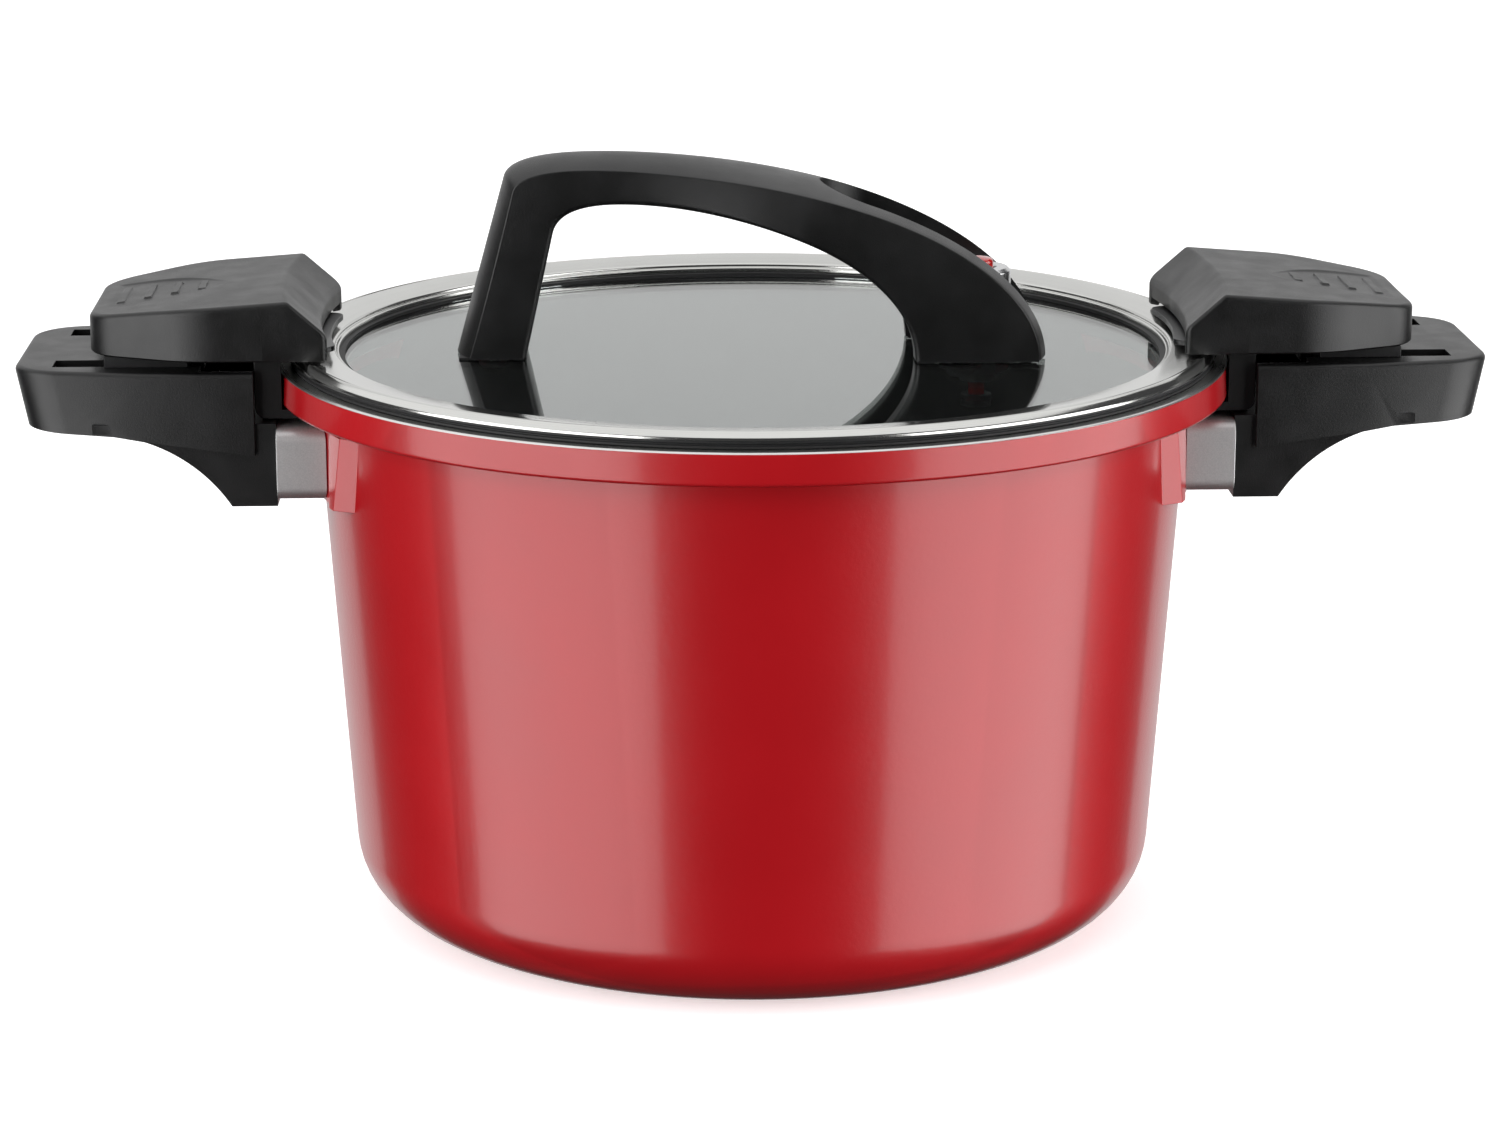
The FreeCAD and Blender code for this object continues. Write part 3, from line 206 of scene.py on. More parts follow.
def make_piece(name: str, surface: Surface, finishes: list[bpy.types.Material], body: str,
               stands_for: list[str], crease: float = 35.0,
               bevel: float = 0.0) -> bpy.types.Object:
    """Put a surface into a mesh object that rides on a body and stands for CAD nodes.

    Args:
        name: The piece's name.
        surface: Its points in millimetres and its faces.
        finishes: Its materials, in the order of the surface's coats.
        body: The CAD body it moves with.
        stands_for: The CAD nodes it replaces.
        crease: Edges sharper than this many degrees stay crisp.
        bevel: Width in millimetres of the rounding that is put on sharp edges.

    Returns:
        The object.
    """
    mesh = bpy.data.meshes.new(name)
    mesh.from_pydata((surface.points * MM).tolist(), [], surface.faces)
    for finish in finishes:
        mesh.materials.append(finish)
    if surface.coats is not None:
        mesh.polygons.foreach_set("material_index", surface.coats.astype(np.int32))
    work = bmesh.new()
    work.from_mesh(mesh)
    bmesh.ops.remove_doubles(work, verts=work.verts, dist=MERGE)
    bmesh.ops.recalc_face_normals(work, faces=work.faces)
    work.to_mesh(mesh)
    work.free()
    mesh.shade_smooth()
    if not bevel:
        mesh.set_sharp_from_angle(angle=math.radians(crease))
    item = bpy.data.objects.new(name, mesh)
    bpy.context.scene.collection.objects.link(item)
    if bevel:
        rounding = item.modifiers.new("rounding", "BEVEL")
        rounding.width = bevel * MM
        rounding.segments = ROUNDING_STEPS
        rounding.limit_method = "ANGLE"
        rounding.angle_limit = math.radians(crease)
        rounding.harden_normals = True
    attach(item, body)
    if stands_for:
        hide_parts(*stands_for)
    LOG.info("%s: %d faces", name, len(mesh.polygons))
    return item


# ---------------------------------------------------------------- finishes
def linear(colour: str) -> tuple[float, float, float, float]:
    """Turn an sRGB hex colour into the linear one that a shader takes."""
    shares = [int(colour[place:place + 2], 16) / 255 for place in (1, 3, 5)]
    return (*[share / 12.92 if share <= 0.04045 else ((share + 0.055) / 1.055) ** 2.4
              for share in shares], 1.0)


def add(tree: bpy.types.NodeTree, kind: str, sockets: dict | None = None,
        **settings: object) -> bpy.types.Node:
    """Add a node with its settings, and set or link its sockets.

    Args:
        tree: The node tree.
        kind: The node's type.
        sockets: Input names or numbers, each with a value or with the output it is linked from.
        settings: Properties of the node.

    Returns:
        The node.
    """
    node = tree.nodes.new(kind)
    for key, value in settings.items():
        setattr(node, key, value)
    for key, value in (sockets or {}).items():
        if isinstance(value, bpy.types.NodeSocket):
            tree.links.new(value, node.inputs[key])
        else:
            node.inputs[key].default_value = value
    return node


@dataclass(frozen=True)
class Finish:
    """What every finish shares: a name, a colour pair, a roughness pair and a grain in millimetres."""

    name: str
    light: str
    dark: str
    smooth: float
    rough: float
    grain: float
    relief: float

    def start(self) -> tuple[bpy.types.Material, bpy.types.NodeTree, bpy.types.Node, bpy.types.NodeSocket]:
        """Begin the material.

        Returns:
            The material, its tree, its shader and the object's coordinates in millimetres.
        """
        material = bpy.data.materials.new(self.name)
        material.use_nodes = True
        tree = material.node_tree
        tree.nodes.clear()
        shader = add(tree, "ShaderNodeBsdfPrincipled")
        add(tree, "ShaderNodeOutputMaterial", {"Surface": shader.outputs[0]})
        place = add(tree, "ShaderNodeTexCoord")
        scaled = add(tree, "ShaderNodeVectorMath", {0: place.outputs["Object"], "Scale": 1 / MM},
                     operation="SCALE")
        return material, tree, shader, scaled.outputs[0]

    def tint(self, tree: bpy.types.NodeTree, shader: bpy.types.Node,
             pattern: bpy.types.NodeSocket) -> None:
        """Let a pattern run the colour from dark to light and the roughness from smooth to rough."""
        colour = add(tree, "ShaderNodeMix", {0: pattern, 6: linear(self.dark), 7: linear(self.light)},
                     data_type="RGBA")
        tree.links.new(colour.outputs[2], shader.inputs["Base Color"])
        roughness = add(tree, "ShaderNodeMapRange", {"Value": pattern, "To Min": self.smooth,
                                                     "To Max": self.rough})
        tree.links.new(roughness.outputs[0], shader.inputs["Roughness"])

    def emboss(self, tree: bpy.types.NodeTree, shader: bpy.types.Node,
               pattern: bpy.types.NodeSocket) -> None:
        """Raise the surface by the finish's relief where a pattern is bright."""
        bump = add(tree, "ShaderNodeBump", {"Height": pattern, "Distance": self.relief * MM})
        tree.links.new(bump.outputs[0], shader.inputs["Normal"])


@dataclass(frozen=True)
class PearlCoat(Finish):
    """Sprayed and fired coating with pearl flake on cast aluminium: deep red under a clear gloss.

    It gives soft-edged reflections with a fine sparkle at their borders, and a faint orange peel.
    """

    peel: float = 1.8
    drift: float = 40.0
    flake_share: float = 0.16
    clear: float = 0.35
    clear_rough: float = 0.12

    def make(self) -> bpy.types.Material:
        """Build the material."""
        material, tree, shader, place = self.start()
        drift = add(tree, "ShaderNodeTexNoise", {"Vector": place, "Scale": 1 / self.drift, "Detail": 3.0})
        self.tint(tree, shader, drift.outputs[0])
        flake = add(tree, "ShaderNodeTexVoronoi", {"Vector": place, "Scale": 1 / self.grain})
        speck = add(tree, "ShaderNodeSeparateColor", {0: flake.outputs["Color"]})
        peel = add(tree, "ShaderNodeTexNoise", {"Vector": place, "Scale": 1 / self.peel, "Detail": 1.0})
        height = add(tree, "ShaderNodeMath", {0: speck.outputs[0], 1: self.flake_share, 2: peel.outputs[0]},
                     operation="MULTIPLY_ADD")
        self.emboss(tree, shader, height.outputs[0])
        shader.inputs["Coat Weight"].default_value = self.clear
        shader.inputs["Coat Roughness"].default_value = self.clear_rough
        return material


@dataclass(frozen=True)
class MouldedResin(Finish):
    """Compression-moulded phenolic resin: near black, satin, with the tool's fine spark-eroded grain."""

    flow: float = 9.0

    def make(self) -> bpy.types.Material:
        """Build the material."""
        material, tree, shader, place = self.start()
        grain = add(tree, "ShaderNodeTexNoise", {"Vector": place, "Scale": 1 / self.grain, "Detail": 4.0,
                                                 "Roughness": 0.7})
        flow = add(tree, "ShaderNodeTexNoise", {"Vector": place, "Scale": 1 / self.flow, "Detail": 2.0})
        blend = add(tree, "ShaderNodeMath", {0: grain.outputs[0], 1: 0.6, 2: flow.outputs[0]},
                    operation="MULTIPLY_ADD")
        level = add(tree, "ShaderNodeMapRange", {"Value": blend.outputs[0], "From Min": 0.55,
                                                 "From Max": 1.05})
        self.tint(tree, shader, level.outputs[0])
        self.emboss(tree, shader, grain.outputs[0])
        return material


@dataclass(frozen=True)
class TurnedMetal(Finish):
    """Metal polished on a lathe: fine rings about the upright axis that draw out its highlights."""

    axis_x: float = 0.0

    def make(self) -> bpy.types.Material:
        """Build the material."""
        material, tree, shader, place = self.start()
        centred = add(tree, "ShaderNodeMapping", {"Vector": place, "Location": (-self.axis_x, 0.0, 0.0)})
        flat = add(tree, "ShaderNodeVectorMath", {0: centred.outputs[0], 1: (1.0, 1.0, 0.0)},
                   operation="MULTIPLY")
        radius = add(tree, "ShaderNodeVectorMath", {0: flat.outputs[0]}, operation="LENGTH")
        height = add(tree, "ShaderNodeSeparateXYZ", {0: centred.outputs[0]})
        ring = add(tree, "ShaderNodeCombineXYZ", {"X": radius.outputs["Value"], "Y": height.outputs["Z"]})
        lines = add(tree, "ShaderNodeTexNoise", {"Vector": ring.outputs[0], "Scale": 1 / self.grain,
                                                 "Detail": 2.0})
        cloud = add(tree, "ShaderNodeTexNoise", {"Vector": centred.outputs[0], "Scale": 1 / 12.0,
                                                 "Detail": 3.0})
        both = add(tree, "ShaderNodeMix", {0: 0.35, 2: lines.outputs[0], 3: cloud.outputs[0]})
        self.tint(tree, shader, both.outputs[0])
        self.emboss(tree, shader, lines.outputs[0])
        shader.inputs["Metallic"].default_value = 1.0
        return material


@dataclass(frozen=True)
class BrushedMetal(Finish):
    """Sheet steel drawn past an abrasive belt: straight hair lines along one direction."""

    metallic: float = 1.0
    stretch: tuple[float, float, float] = (1.0, 0.02, 1.0)

    def make(self) -> bpy.types.Material:
        """Build the material."""
        material, tree, shader, place = self.start()
        drawn = add(tree, "ShaderNodeMapping", {"Vector": place, "Scale": self.stretch})
        hair = add(tree, "ShaderNodeTexNoise", {"Vector": drawn.outputs[0], "Scale": 1 / self.grain,
                                                "Detail": 3.0})
        self.tint(tree, shader, hair.outputs[0])
        self.emboss(tree, shader, hair.outputs[0])
        shader.inputs["Metallic"].default_value = self.metallic
        return material


@dataclass(frozen=True)
class FineGrained(Finish):
    """A dull or glossy surface with an even grain: rubber, paint, blasted metal or non-stick coating."""

    metallic: float = 0.0
    clear: float = 0.0

    def make(self) -> bpy.types.Material:
        """Build the material."""
        material, tree, shader, place = self.start()
        grain = add(tree, "ShaderNodeTexNoise", {"Vector": place, "Scale": 1 / self.grain, "Detail": 3.0})
        self.tint(tree, shader, grain.outputs[0])
        self.emboss(tree, shader, grain.outputs[0])
        shader.inputs["Metallic"].default_value = self.metallic
        shader.inputs["Coat Weight"].default_value = self.clear
        return material


@dataclass(frozen=True)
class ClearGlass(Finish):
    """Tempered soda-lime glass: clear, with a faint green body and a trace of wiping marks."""

    index: float = 1.52

    def make(self) -> bpy.types.Material:
        """Build the material."""
        material, tree, shader, place = self.start()
        wiped = add(tree, "ShaderNodeTexNoise", {"Vector": place, "Scale": 1 / self.grain, "Detail": 2.0,
                                                 "Distortion": 0.6})
        self.tint(tree, shader, wiped.outputs[0])
        shader.inputs["Transmission Weight"].default_value = 1.0
        shader.inputs["IOR"].default_value = self.index
        return material


VALVE_X = (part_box("valve_cap")[0].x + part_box("valve_cap")[1].x) / 2 / MM
FINISHES = {
    "coat": PearlCoat("sprayed_pearl_red_coating", "#bd0d18", "#ac0a13", 0.26, 0.32, 0.35, 0.03),
    "resin": MouldedResin("moulded_black_phenolic", "#0f0f10", "#080808", 0.34, 0.44, 0.45, 0.05),
    "nonstick": FineGrained("grey_nonstick_coating", "#202121", "#161717", 0.35, 0.5, 0.8, 0.04),
    "bare_rim": TurnedMetal("machined_bare_aluminium_rim", "#e6e6e4", "#c9c9c7", 0.22, 0.35, 0.3, 0.01),
    "ring": TurnedMetal("polished_stainless_lid_ring", "#d8d8d5", "#c0c0bd", 0.10, 0.20, 0.4, 0.004),
    "sleeve": BrushedMetal("brushed_stainless_sleeve", "#e8e8e8", "#c2c4c4", 0.38, 0.5, 0.3, 0.008, 0.8),
    "base": TurnedMetal("turned_steel_base_plate", "#cfcfcd", "#a5a5a3", 0.25, 0.4, 0.9, 0.02),
    "cap": TurnedMetal("turned_aluminium_valve_cap", "#e2e2e3", "#b9b9ba", 0.16, 0.30, 0.35, 0.012, VALVE_X),
    "steel": FineGrained("plain_stainless_fastener", "#c9c9c7", "#a3a3a1", 0.25, 0.4, 0.6, 0.01, 1.0),
    "jaw": FineGrained("black_painted_steel", "#101011", "#0a0a0b", 0.32, 0.42, 0.5, 0.02, 0.0, 0.2),
    "shoe": FineGrained("black_acetal_runner", "#232324", "#171718", 0.35, 0.5, 0.7, 0.02),
    "rubber": FineGrained("black_silicone_rubber", "#202021", "#161617", 0.5, 0.65, 0.5, 0.02),
    "indicator": FineGrained("gloss_red_indicator", "#c8140c", "#a50d08", 0.12, 0.2, 1.5, 0.005, 0.0, 0.8),
    "glass": ClearGlass("tempered_clear_glass", "#eef5f2", "#e4eeea", 0.0, 0.03, 30.0, 0.0),
}


# ---------------------------------------------------------------- pot
@dataclass
class Pot:
    """The cast pot: a leaning wall under a thick collar, a bare rim and two pads for the handles."""

    finishes: dict[str, bpy.types.Material]
    rim_radius: float = 135.0
    collar: tuple[float, float] = (135.5, 9.1)
    wall_top: float = 124.4
    wall_foot: float = 113.9
    wall: float = 3.6
    base: float = 6.0
    bore: float = 121.4
    foot_round: float = 22.5
    well_round: float = 18.0
    recess: tuple[float, float] = (84.3, 1.4)
    face_depth: float = -0.45
    lining_depth: float = -0.3
    pad: tuple[float, float, float, float] = (125.4, 43.0, -13.3, -35.0)
    pad_root: float = 120.6
    pad_shoulder: float = 127.0
    pad_end: tuple[float, float] = (54.0, 64.0)
    pad_taper: float = 0.55
    pad_swell: float = 8.0
    pad_sink: float = 0.4
    pad_facet_steps: int = 24
    pad_steps: int = 128

    def section(self) -> np.ndarray:
        """The pot's half section: underside, wall, collar, rim, inside wall and inside base."""
        under = self.collar[1]
        return eased([
            (0, self.recess[1] - RIM, 0), (self.recess[0], self.recess[1] - RIM, 0.2),
            (self.recess[0], -RIM, 0.3), (self.wall_foot, -RIM, self.foot_round),
            (self.wall_top, -under, 1.2), (self.collar[0], -under, 1.3), (self.rim_radius, 0, 1.0),
            (self.bore, 0, 0.8), (self.wall_top - self.wall, -under, 2.0),
            (self.wall_foot - self.wall, self.base - RIM, self.well_round), (0, self.base - RIM, 0)],
            steps=12, closed=False)

    def build_shell(self) -> None:
        """Turn the section: the coating outside, bare metal on the rim's face, non-stick inside."""
        section = self.section()
        surface = turned_section(section, segments=TURNS, closed=False)
        middle = (section[1:] + section[:-1]) / 2
        inside = (np.arange(len(middle)) > np.argmax(section[:, 1])) & (middle[:, 1] < self.lining_depth)
        face = middle[:, 1] > self.face_depth
        coats = np.where(face, 1, np.where(inside, 2, 0))
        surface.coats = np.repeat(coats, TURNS)
        make_piece("pot_shell", surface, [self.finishes["coat"], self.finishes["bare_rim"],
                                          self.finishes["nonstick"]], "pot", ["pot_body"])

    def build_pad(self, side: Side) -> None:
        """Carry a pad's rounded section round the wall.

        Its outer radius is even behind the sleeve, swells to a shoulder on each side by a smooth
        step, and then falls to the wall along a straight slanted facet. Beyond the sleeve the pad
        draws in downwards: y = half + (y - half) (1 - taper (top - z) / (top - foot)).

        Args:
            side: The end of the cooker that it is on.
        """
        radius, half, top, foot = self.pad
        shoulder, end = self.pad_end
        across = np.concatenate([np.linspace(0, shoulder, self.pad_steps // 2),
                                 np.linspace(shoulder, end, self.pad_facet_steps)[1:]])
        across = np.concatenate([-across[:0:-1], across])
        section = eased([(0, foot, 0), (1, foot, 0), (1, top, 0), (0, top, 0)])
        drawn_in = 1 - self.pad_taper * (top - section[None, :, 1]) / (top - foot)
        flat = np.abs(across)[:, None]
        moved = np.where(flat > half, half + (flat - half) * drawn_in, flat)
        swell = radius + (self.pad_shoulder - radius) * smooth_step(flat - half, self.pad_swell)
        start = np.sqrt(self.pad_shoulder ** 2 - (half + (shoulder - half) * drawn_in) ** 2)
        stop = np.sqrt(self.pad_root ** 2 - (half + (end - half) * drawn_in) ** 2)
        facet = start + (stop - start) * (flat - shoulder) / (end - shoulder)
        outer = np.where(flat <= shoulder, np.sqrt(swell ** 2 - moved ** 2), facet)
        inner = np.sqrt(self.pad_root ** 2 - moved ** 2) - self.pad_sink
        reach = inner + section[None, :, 0] * (outer - inner)
        aside = np.sign(across)[:, None] * moved
        points = np.stack([reach, aside, RIM + section[None, :, 1] + 0 * reach], -1)
        surface = grid_surface(points, capped=True).turned(side)
        make_piece(f"{side.word}_wall_pad", surface, [self.finishes["coat"]], "pot", [],
                   crease=30.0, bevel=0.9)

    def build(self) -> None:
        """Build the shell and both pads."""
        self.build_shell()
        for side in Side:
            self.build_pad(side)


# ---------------------------------------------------------------- lid
@dataclass
class Lid:
    """The lid's pressed ring and rim seal; the glass and its gasket are the CAD nodes."""

    finishes: dict[str, bpy.types.Material]

    def build(self) -> None:
        """Turn the ring's section, with the crease at its crown, and the grooved seal."""
        ring = eased([
            (118.6, 3.2, 0.8), (128.9, 4.57, 0.15), (129.2, 4.3, 0.1), (129.5, 4.65, 0.15),
            (130.3, 4.65, 1.6), (131.95, 3.0, 1.3), (131.95, 2.45, 0.25), (119.9, 2.45, 0.3),
            (119.9, -7.1, 0.6), (115.1, -7.1, 0.3), (115.1, -6.3, 0.2), (118.9, -6.3, 0.2),
            (118.9, 0.65, 0.2), (117.4, 0.65, 0.3), (117.4, 2.2, 0.5), (118.6, 2.2, 0.3)])
        make_piece("lid_ring_pressing", turned_section(ring, segments=TURNS), [self.finishes["ring"]],
                   "lid", ["lid_ring"], crease=60.0)
        seal = eased([(122.6, 0.05, 0.3), (131.2, 0.05, 0.35), (131.2, 0.75, 0.2), (130.6, 1.2, 0.2),
                      (131.2, 1.65, 0.2), (131.2, 2.4, 0.35), (122.6, 2.4, 0.3)])
        make_piece("rim_seal_ring", turned_section(seal, segments=TURNS), [self.finishes["rubber"]],
                   "lid", ["rim_seal"], crease=60.0)


@dataclass
class LidHandle:
    """The arched handle: a leg, an arch that flares into a fork, and the fork's slot."""

    finishes: dict[str, bpy.types.Material]
    foot: float = 0.4
    crest: float = 56.9
    under_crest: float = 43.6
    leg: tuple[float, float] = (-84.0, -64.3)
    shoulder: tuple[tuple[float, float], tuple[float, float]] = ((-70.2, 50.2), (-56.5, 35.5))
    arch: tuple[tuple[float, float, float], tuple[float, float, float]] = (
        (-43.0, 127.0, 1.9), (-38.0, 83.0, 1.97))
    half: tuple[float, float] = (12.7, 22.0)
    flare_end: float = 0.62
    crown: float = 3.8
    crown_edge: float = 0.5
    slot_half: float = 14.0
    slot_nose: float = 33.0
    steps: tuple[int, int, int] = (24, 28, 96)

    def side_line(self, which: int) -> np.ndarray:
        """Follow the handle's outer (0) or inner (1) line.

        The leg is straight, the shoulder is a quadratic curve towards the crest, and the arch is a
        quarter of a superellipse: x = start + reach sin(a)^(2/n), z = foot + rise cos(a)^(2/n).
        """
        crest = (self.crest, self.under_crest)[which]
        leg = np.array([self.leg[which], self.foot])
        shoulder = np.array(self.shoulder[which])
        start, reach, fullness = self.arch[which]
        corner = leg + (shoulder - leg) * (crest - self.foot) / (shoulder[1] - self.foot)
        top = np.array([start, crest])
        along = np.linspace(0, 1, self.steps[0], endpoint=False)[:, None]
        straight = leg + (shoulder - leg) * along
        part = np.linspace(0, 1, self.steps[1], endpoint=False)[:, None]
        bend = (1 - part) ** 2 * shoulder + 2 * part * (1 - part) * corner + part ** 2 * top
        angle = np.linspace(0, math.pi / 2, self.steps[2])
        across = np.sin(angle) ** (2 / fullness)
        rise = np.clip(np.cos(angle), 0, 1) ** (2 / fullness)
        arch = np.stack([start + reach * across, self.foot + (crest - self.foot) * rise], 1)
        return np.vstack([straight, bend, arch])

    def body_surface(self) -> Surface:
        """Carry a crowned section from the left foot to the right one, stretched between the lines.

        The half width runs from the arch's to the fork's by 3t^2 - 2t^3 of the share t along the flare.

        Returns:
            The arch without its slot.
        """
        outer, inner = self.side_line(0), self.side_line(1)
        depth = np.linalg.norm(outer - inner, axis=1)[:, None]
        outwards = (outer - inner) / depth
        start, reach, _ = self.arch[0]
        share = np.clip((outer[:, :1] - start) / (reach * self.flare_end), 0, 1)
        half = self.half[0] + (self.half[1] - self.half[0]) * share * share * (3 - 2 * share)
        drawn_depth, drawn_half = 14.0, self.half[0]
        side = np.linspace(-0.97, 0.97, 21)
        edge = drawn_depth - self.crown
        crown = [(drawn_depth - self.crown * y * y, y * drawn_half, 0.0) for y in side]
        section = eased([(0, -drawn_half, 1.6), (edge, -drawn_half, self.crown_edge)] + crown
                        + [(edge, drawn_half, self.crown_edge), (0, drawn_half, 1.6)], steps=5)
        out, across = section[None, :, 0], section[None, :, 1]
        out = out + np.where(out > drawn_depth / 2, depth - drawn_depth, 0.0)
        by_side = across + np.sign(across) * (half - drawn_half)
        across = np.where(np.abs(across) > 0.9 * drawn_half, by_side, across * half / drawn_half)
        points = np.stack([inner[:, :1] + outwards[:, :1] * out, across,
                           RIM + inner[:, 1:] + outwards[:, 1:] * out], -1)
        return grid_surface(points, capped=True)

    def slot_surface(self) -> Surface:
        """The slot as an upright block: a half circle of the slot's half width, then straight sides."""
        angle = np.linspace(math.pi / 2, 3 * math.pi / 2, 49)
        nose = np.stack([self.slot_nose + self.slot_half * np.cos(angle), self.slot_half * np.sin(angle)], 1)
        far = self.arch[0][0] + self.arch[0][1] + 5
        outline = np.vstack([nose, [[far, -self.slot_half], [far, self.slot_half]]])
        heights = RIM + np.array([self.foot - 5, self.crest + 5])
        levels = np.repeat(heights[:, None], len(outline), 1)
        points = np.concatenate([np.stack([outline, outline]), levels[..., None]], -1)
        return grid_surface(points, capped=True)

    def build(self) -> None:
        """Cut the slot out of the arch and keep the result as one mesh."""
        handle = make_piece("arched_lid_handle", self.body_surface(), [self.finishes["resin"]], "lid",
                            ["lid_handle"])
        cutter = make_piece("slot_cutter", self.slot_surface(), [self.finishes["resin"]], "lid", [])
        cutting = handle.modifiers.new("slot", "BOOLEAN")
        cutting.object = cutter
        cutting.solver = "EXACT"
        graph = bpy.context.evaluated_depsgraph_get()
        cut = bpy.data.meshes.new_from_object(handle.evaluated_get(graph))
        handle.modifiers.clear()
        handle.data = cut
        cut.name = "arched_lid_handle"
        cut.set_sharp_from_angle(angle=math.radians(38.0))
        bpy.data.objects.remove(cutter)


# ---------------------------------------------------------------- slide locks
@dataclass
class SlideCover:
    """The slide's moulded cover, drawn as a height over a rounded outline with a hollowed tip."""

    finishes: dict[str, bpy.types.Material]
    foot: float = 5.1
    lid_foot: float = 7.1
    tip: float = 122.0
    tip_curve: float = 220.0
    lip: float = 12.3
    ridge: tuple[float, float] = (21.6, 10.4)
    half: float = 39.3
    shoulder: float = 158.0
    end: tuple[float, float, float] = (185.6, 27.0, 15.9)
    crown: tuple[float, float, float] = (160.0, 19.6, 0.0725)
    edge: float = 1.5
    wall: float = 2.8
    centre: float = 155.0
    leaf: tuple[float, float, float] = (148.0, 180.0, 16.5)
    leaf_floor: tuple[float, float] = (20.5, 16.4)
    leaf_slopes: tuple[float, float, float] = (1.6, 2.5, 1.0)
    leaf_fullness: float = 2.7
    ribs: int = 4
    rib_first: float = 155.5
    rib_pitch: float = 7.4
    rib_width: float = 2.0
    rib_rise: float = 0.8
    rib_slopes: tuple[float, float] = (0.5, 0.8)
    rib_half: tuple[float, float] = (6.0, 11.0)
    around: int = 600
    across: int = 118

    def outline(self) -> np.ndarray:
        """The cover's plan, evenly stepped: a hollow tip of a large circle, two shoulders, a blunt end."""
        side = np.linspace(self.half, -self.half, 41)
        hollow = self.tip - self.tip_curve + np.sqrt(self.tip_curve ** 2 - side ** 2)
        tip = [(x, y, 1.5 if abs(y) == self.half else 0.0) for x, y in zip(hollow, side)]
        line = eased(tip + [(self.shoulder, -self.half, 38.0), (self.end[0], -self.end[1], 14.0),
                            (self.end[0], self.end[1], 14.0), (self.shoulder, self.half, 38.0)], steps=16)
        loop = np.vstack([line, line[:1]])
        length = np.concatenate([[0], np.cumsum(np.linalg.norm(np.diff(loop, axis=0), axis=1))])
        even = np.linspace(0, length[-1], self.around, endpoint=False)
        return np.stack([np.interp(even, length, loop[:, axis]) for axis in (0, 1)], 1)

    def top_height(self, x: np.ndarray, y: np.ndarray) -> np.ndarray:
        """Height of the top above the rim.

        Two gently sloping planes meet over the crown, a cone about the tip's circle cuts the front
        facet, and a leaf-shaped hollow with ribs is sunk by smooth steps. The hollow's half width is
        half (1 - (1 - t)^n) at the share t of its length.

        Args:
            x: Distances from the pot's axis.
            y: Distances to the side.

        Returns:
            The heights.
        """
        crown_x, crown_z, slope = self.crown
        inner = crown_z + slope * (crown_x - x)
        outer = crown_z - (x - crown_x) * (crown_z - self.end[2]) / (self.end[0] - crown_x)
        plane = soft_lower(inner, outer, 0.6)
        reach = np.hypot(x - self.tip + self.tip_curve, y) - self.tip_curve
        facet = self.lip + reach * (self.ridge[0] - self.lip) / self.ridge[1]
        top = soft_lower(plane, facet, 0.7)
        start, end, half = self.leaf
        along = np.clip((x - start) / (end - start), 0, 1)
        width = half * (1 - (1 - along) ** self.leaf_fullness)
        side, outer_end, inner_end = self.leaf_slopes
        inside = smooth_step(width - np.abs(y), side)
        inside = inside * smooth_step(end - x, outer_end) * smooth_step(x - start, inner_end)
        floor = self.leaf_floor[0] + (self.leaf_floor[1] - self.leaf_floor[0]) * along
        for index in range(self.ribs):
            rib_half = np.interp(index, [0, self.ribs - 1], self.rib_half)
            middle = self.rib_first + self.rib_pitch * index
            near = smooth_step(self.rib_width / 2 - np.abs(x - middle), self.rib_slopes[0])
            floor = floor + self.rib_rise * near * smooth_step(rib_half - np.abs(y), self.rib_slopes[1])
        return top + (np.minimum(floor, top) - top) * inside

    def shell_surface(self) -> Surface:
        """Rows from the middle of the top, over the edge, down the wall, and up again inside."""
        plan = self.outline()
        centre = np.array([self.centre, 0.0])
        span = np.linalg.norm(plan - centre, axis=1)

        def row(inset: np.ndarray) -> np.ndarray:
            """The outline drawn in towards the centre by a distance."""
            return centre + (plan - centre) * (1 - inset / span)[:, None]

        spread = np.linspace(1.0, 0.0, self.across) ** 1.15
        rows = []
        for share in spread:
            line = row(self.edge + (span - self.edge) * share)
            rows.append(np.column_stack([line, self.top_height(*line.T)]))
        for angle in np.linspace(0, math.pi / 2, 7)[1:]:
            line = row(np.full(len(plan), self.edge * (1 - math.sin(angle))))
            drop = self.edge * (1 - math.cos(angle))
            rows.append(np.column_stack([line, self.top_height(*line.T) - drop]))
        lifted = smooth_step(self.tip + 4 - plan[:, 0], 0.5) * smooth_step(35.6 - np.abs(plan[:, 1]), 0.5)
        foot = self.foot + (self.lid_foot - self.foot) * lifted
        rows.append(np.column_stack([plan, foot + 0.4]))
        rows.append(np.column_stack([row(np.full(len(plan), 0.4)), foot]))
        thick = np.full(len(plan), self.wall + 0.7 * lifted)
        rows.append(np.column_stack([row(thick), foot]))
        for share in np.linspace(0, 1, 12):
            line = row(thick + (span - thick) * share)
            rows.append(np.column_stack([line, self.top_height(*line.T) - self.wall]))
        points = np.stack(rows)
        points[..., 2] += RIM
        return grid_surface(points)

    def build(self, side: Side) -> None:
        """Build the cover for one side."""
        make_piece(f"{side.word}_lock_cover", self.shell_surface().turned(side), [self.finishes["resin"]],
                   f"{side.word}_slide", [f"{side.word}_slide_cover"], crease=42.0)


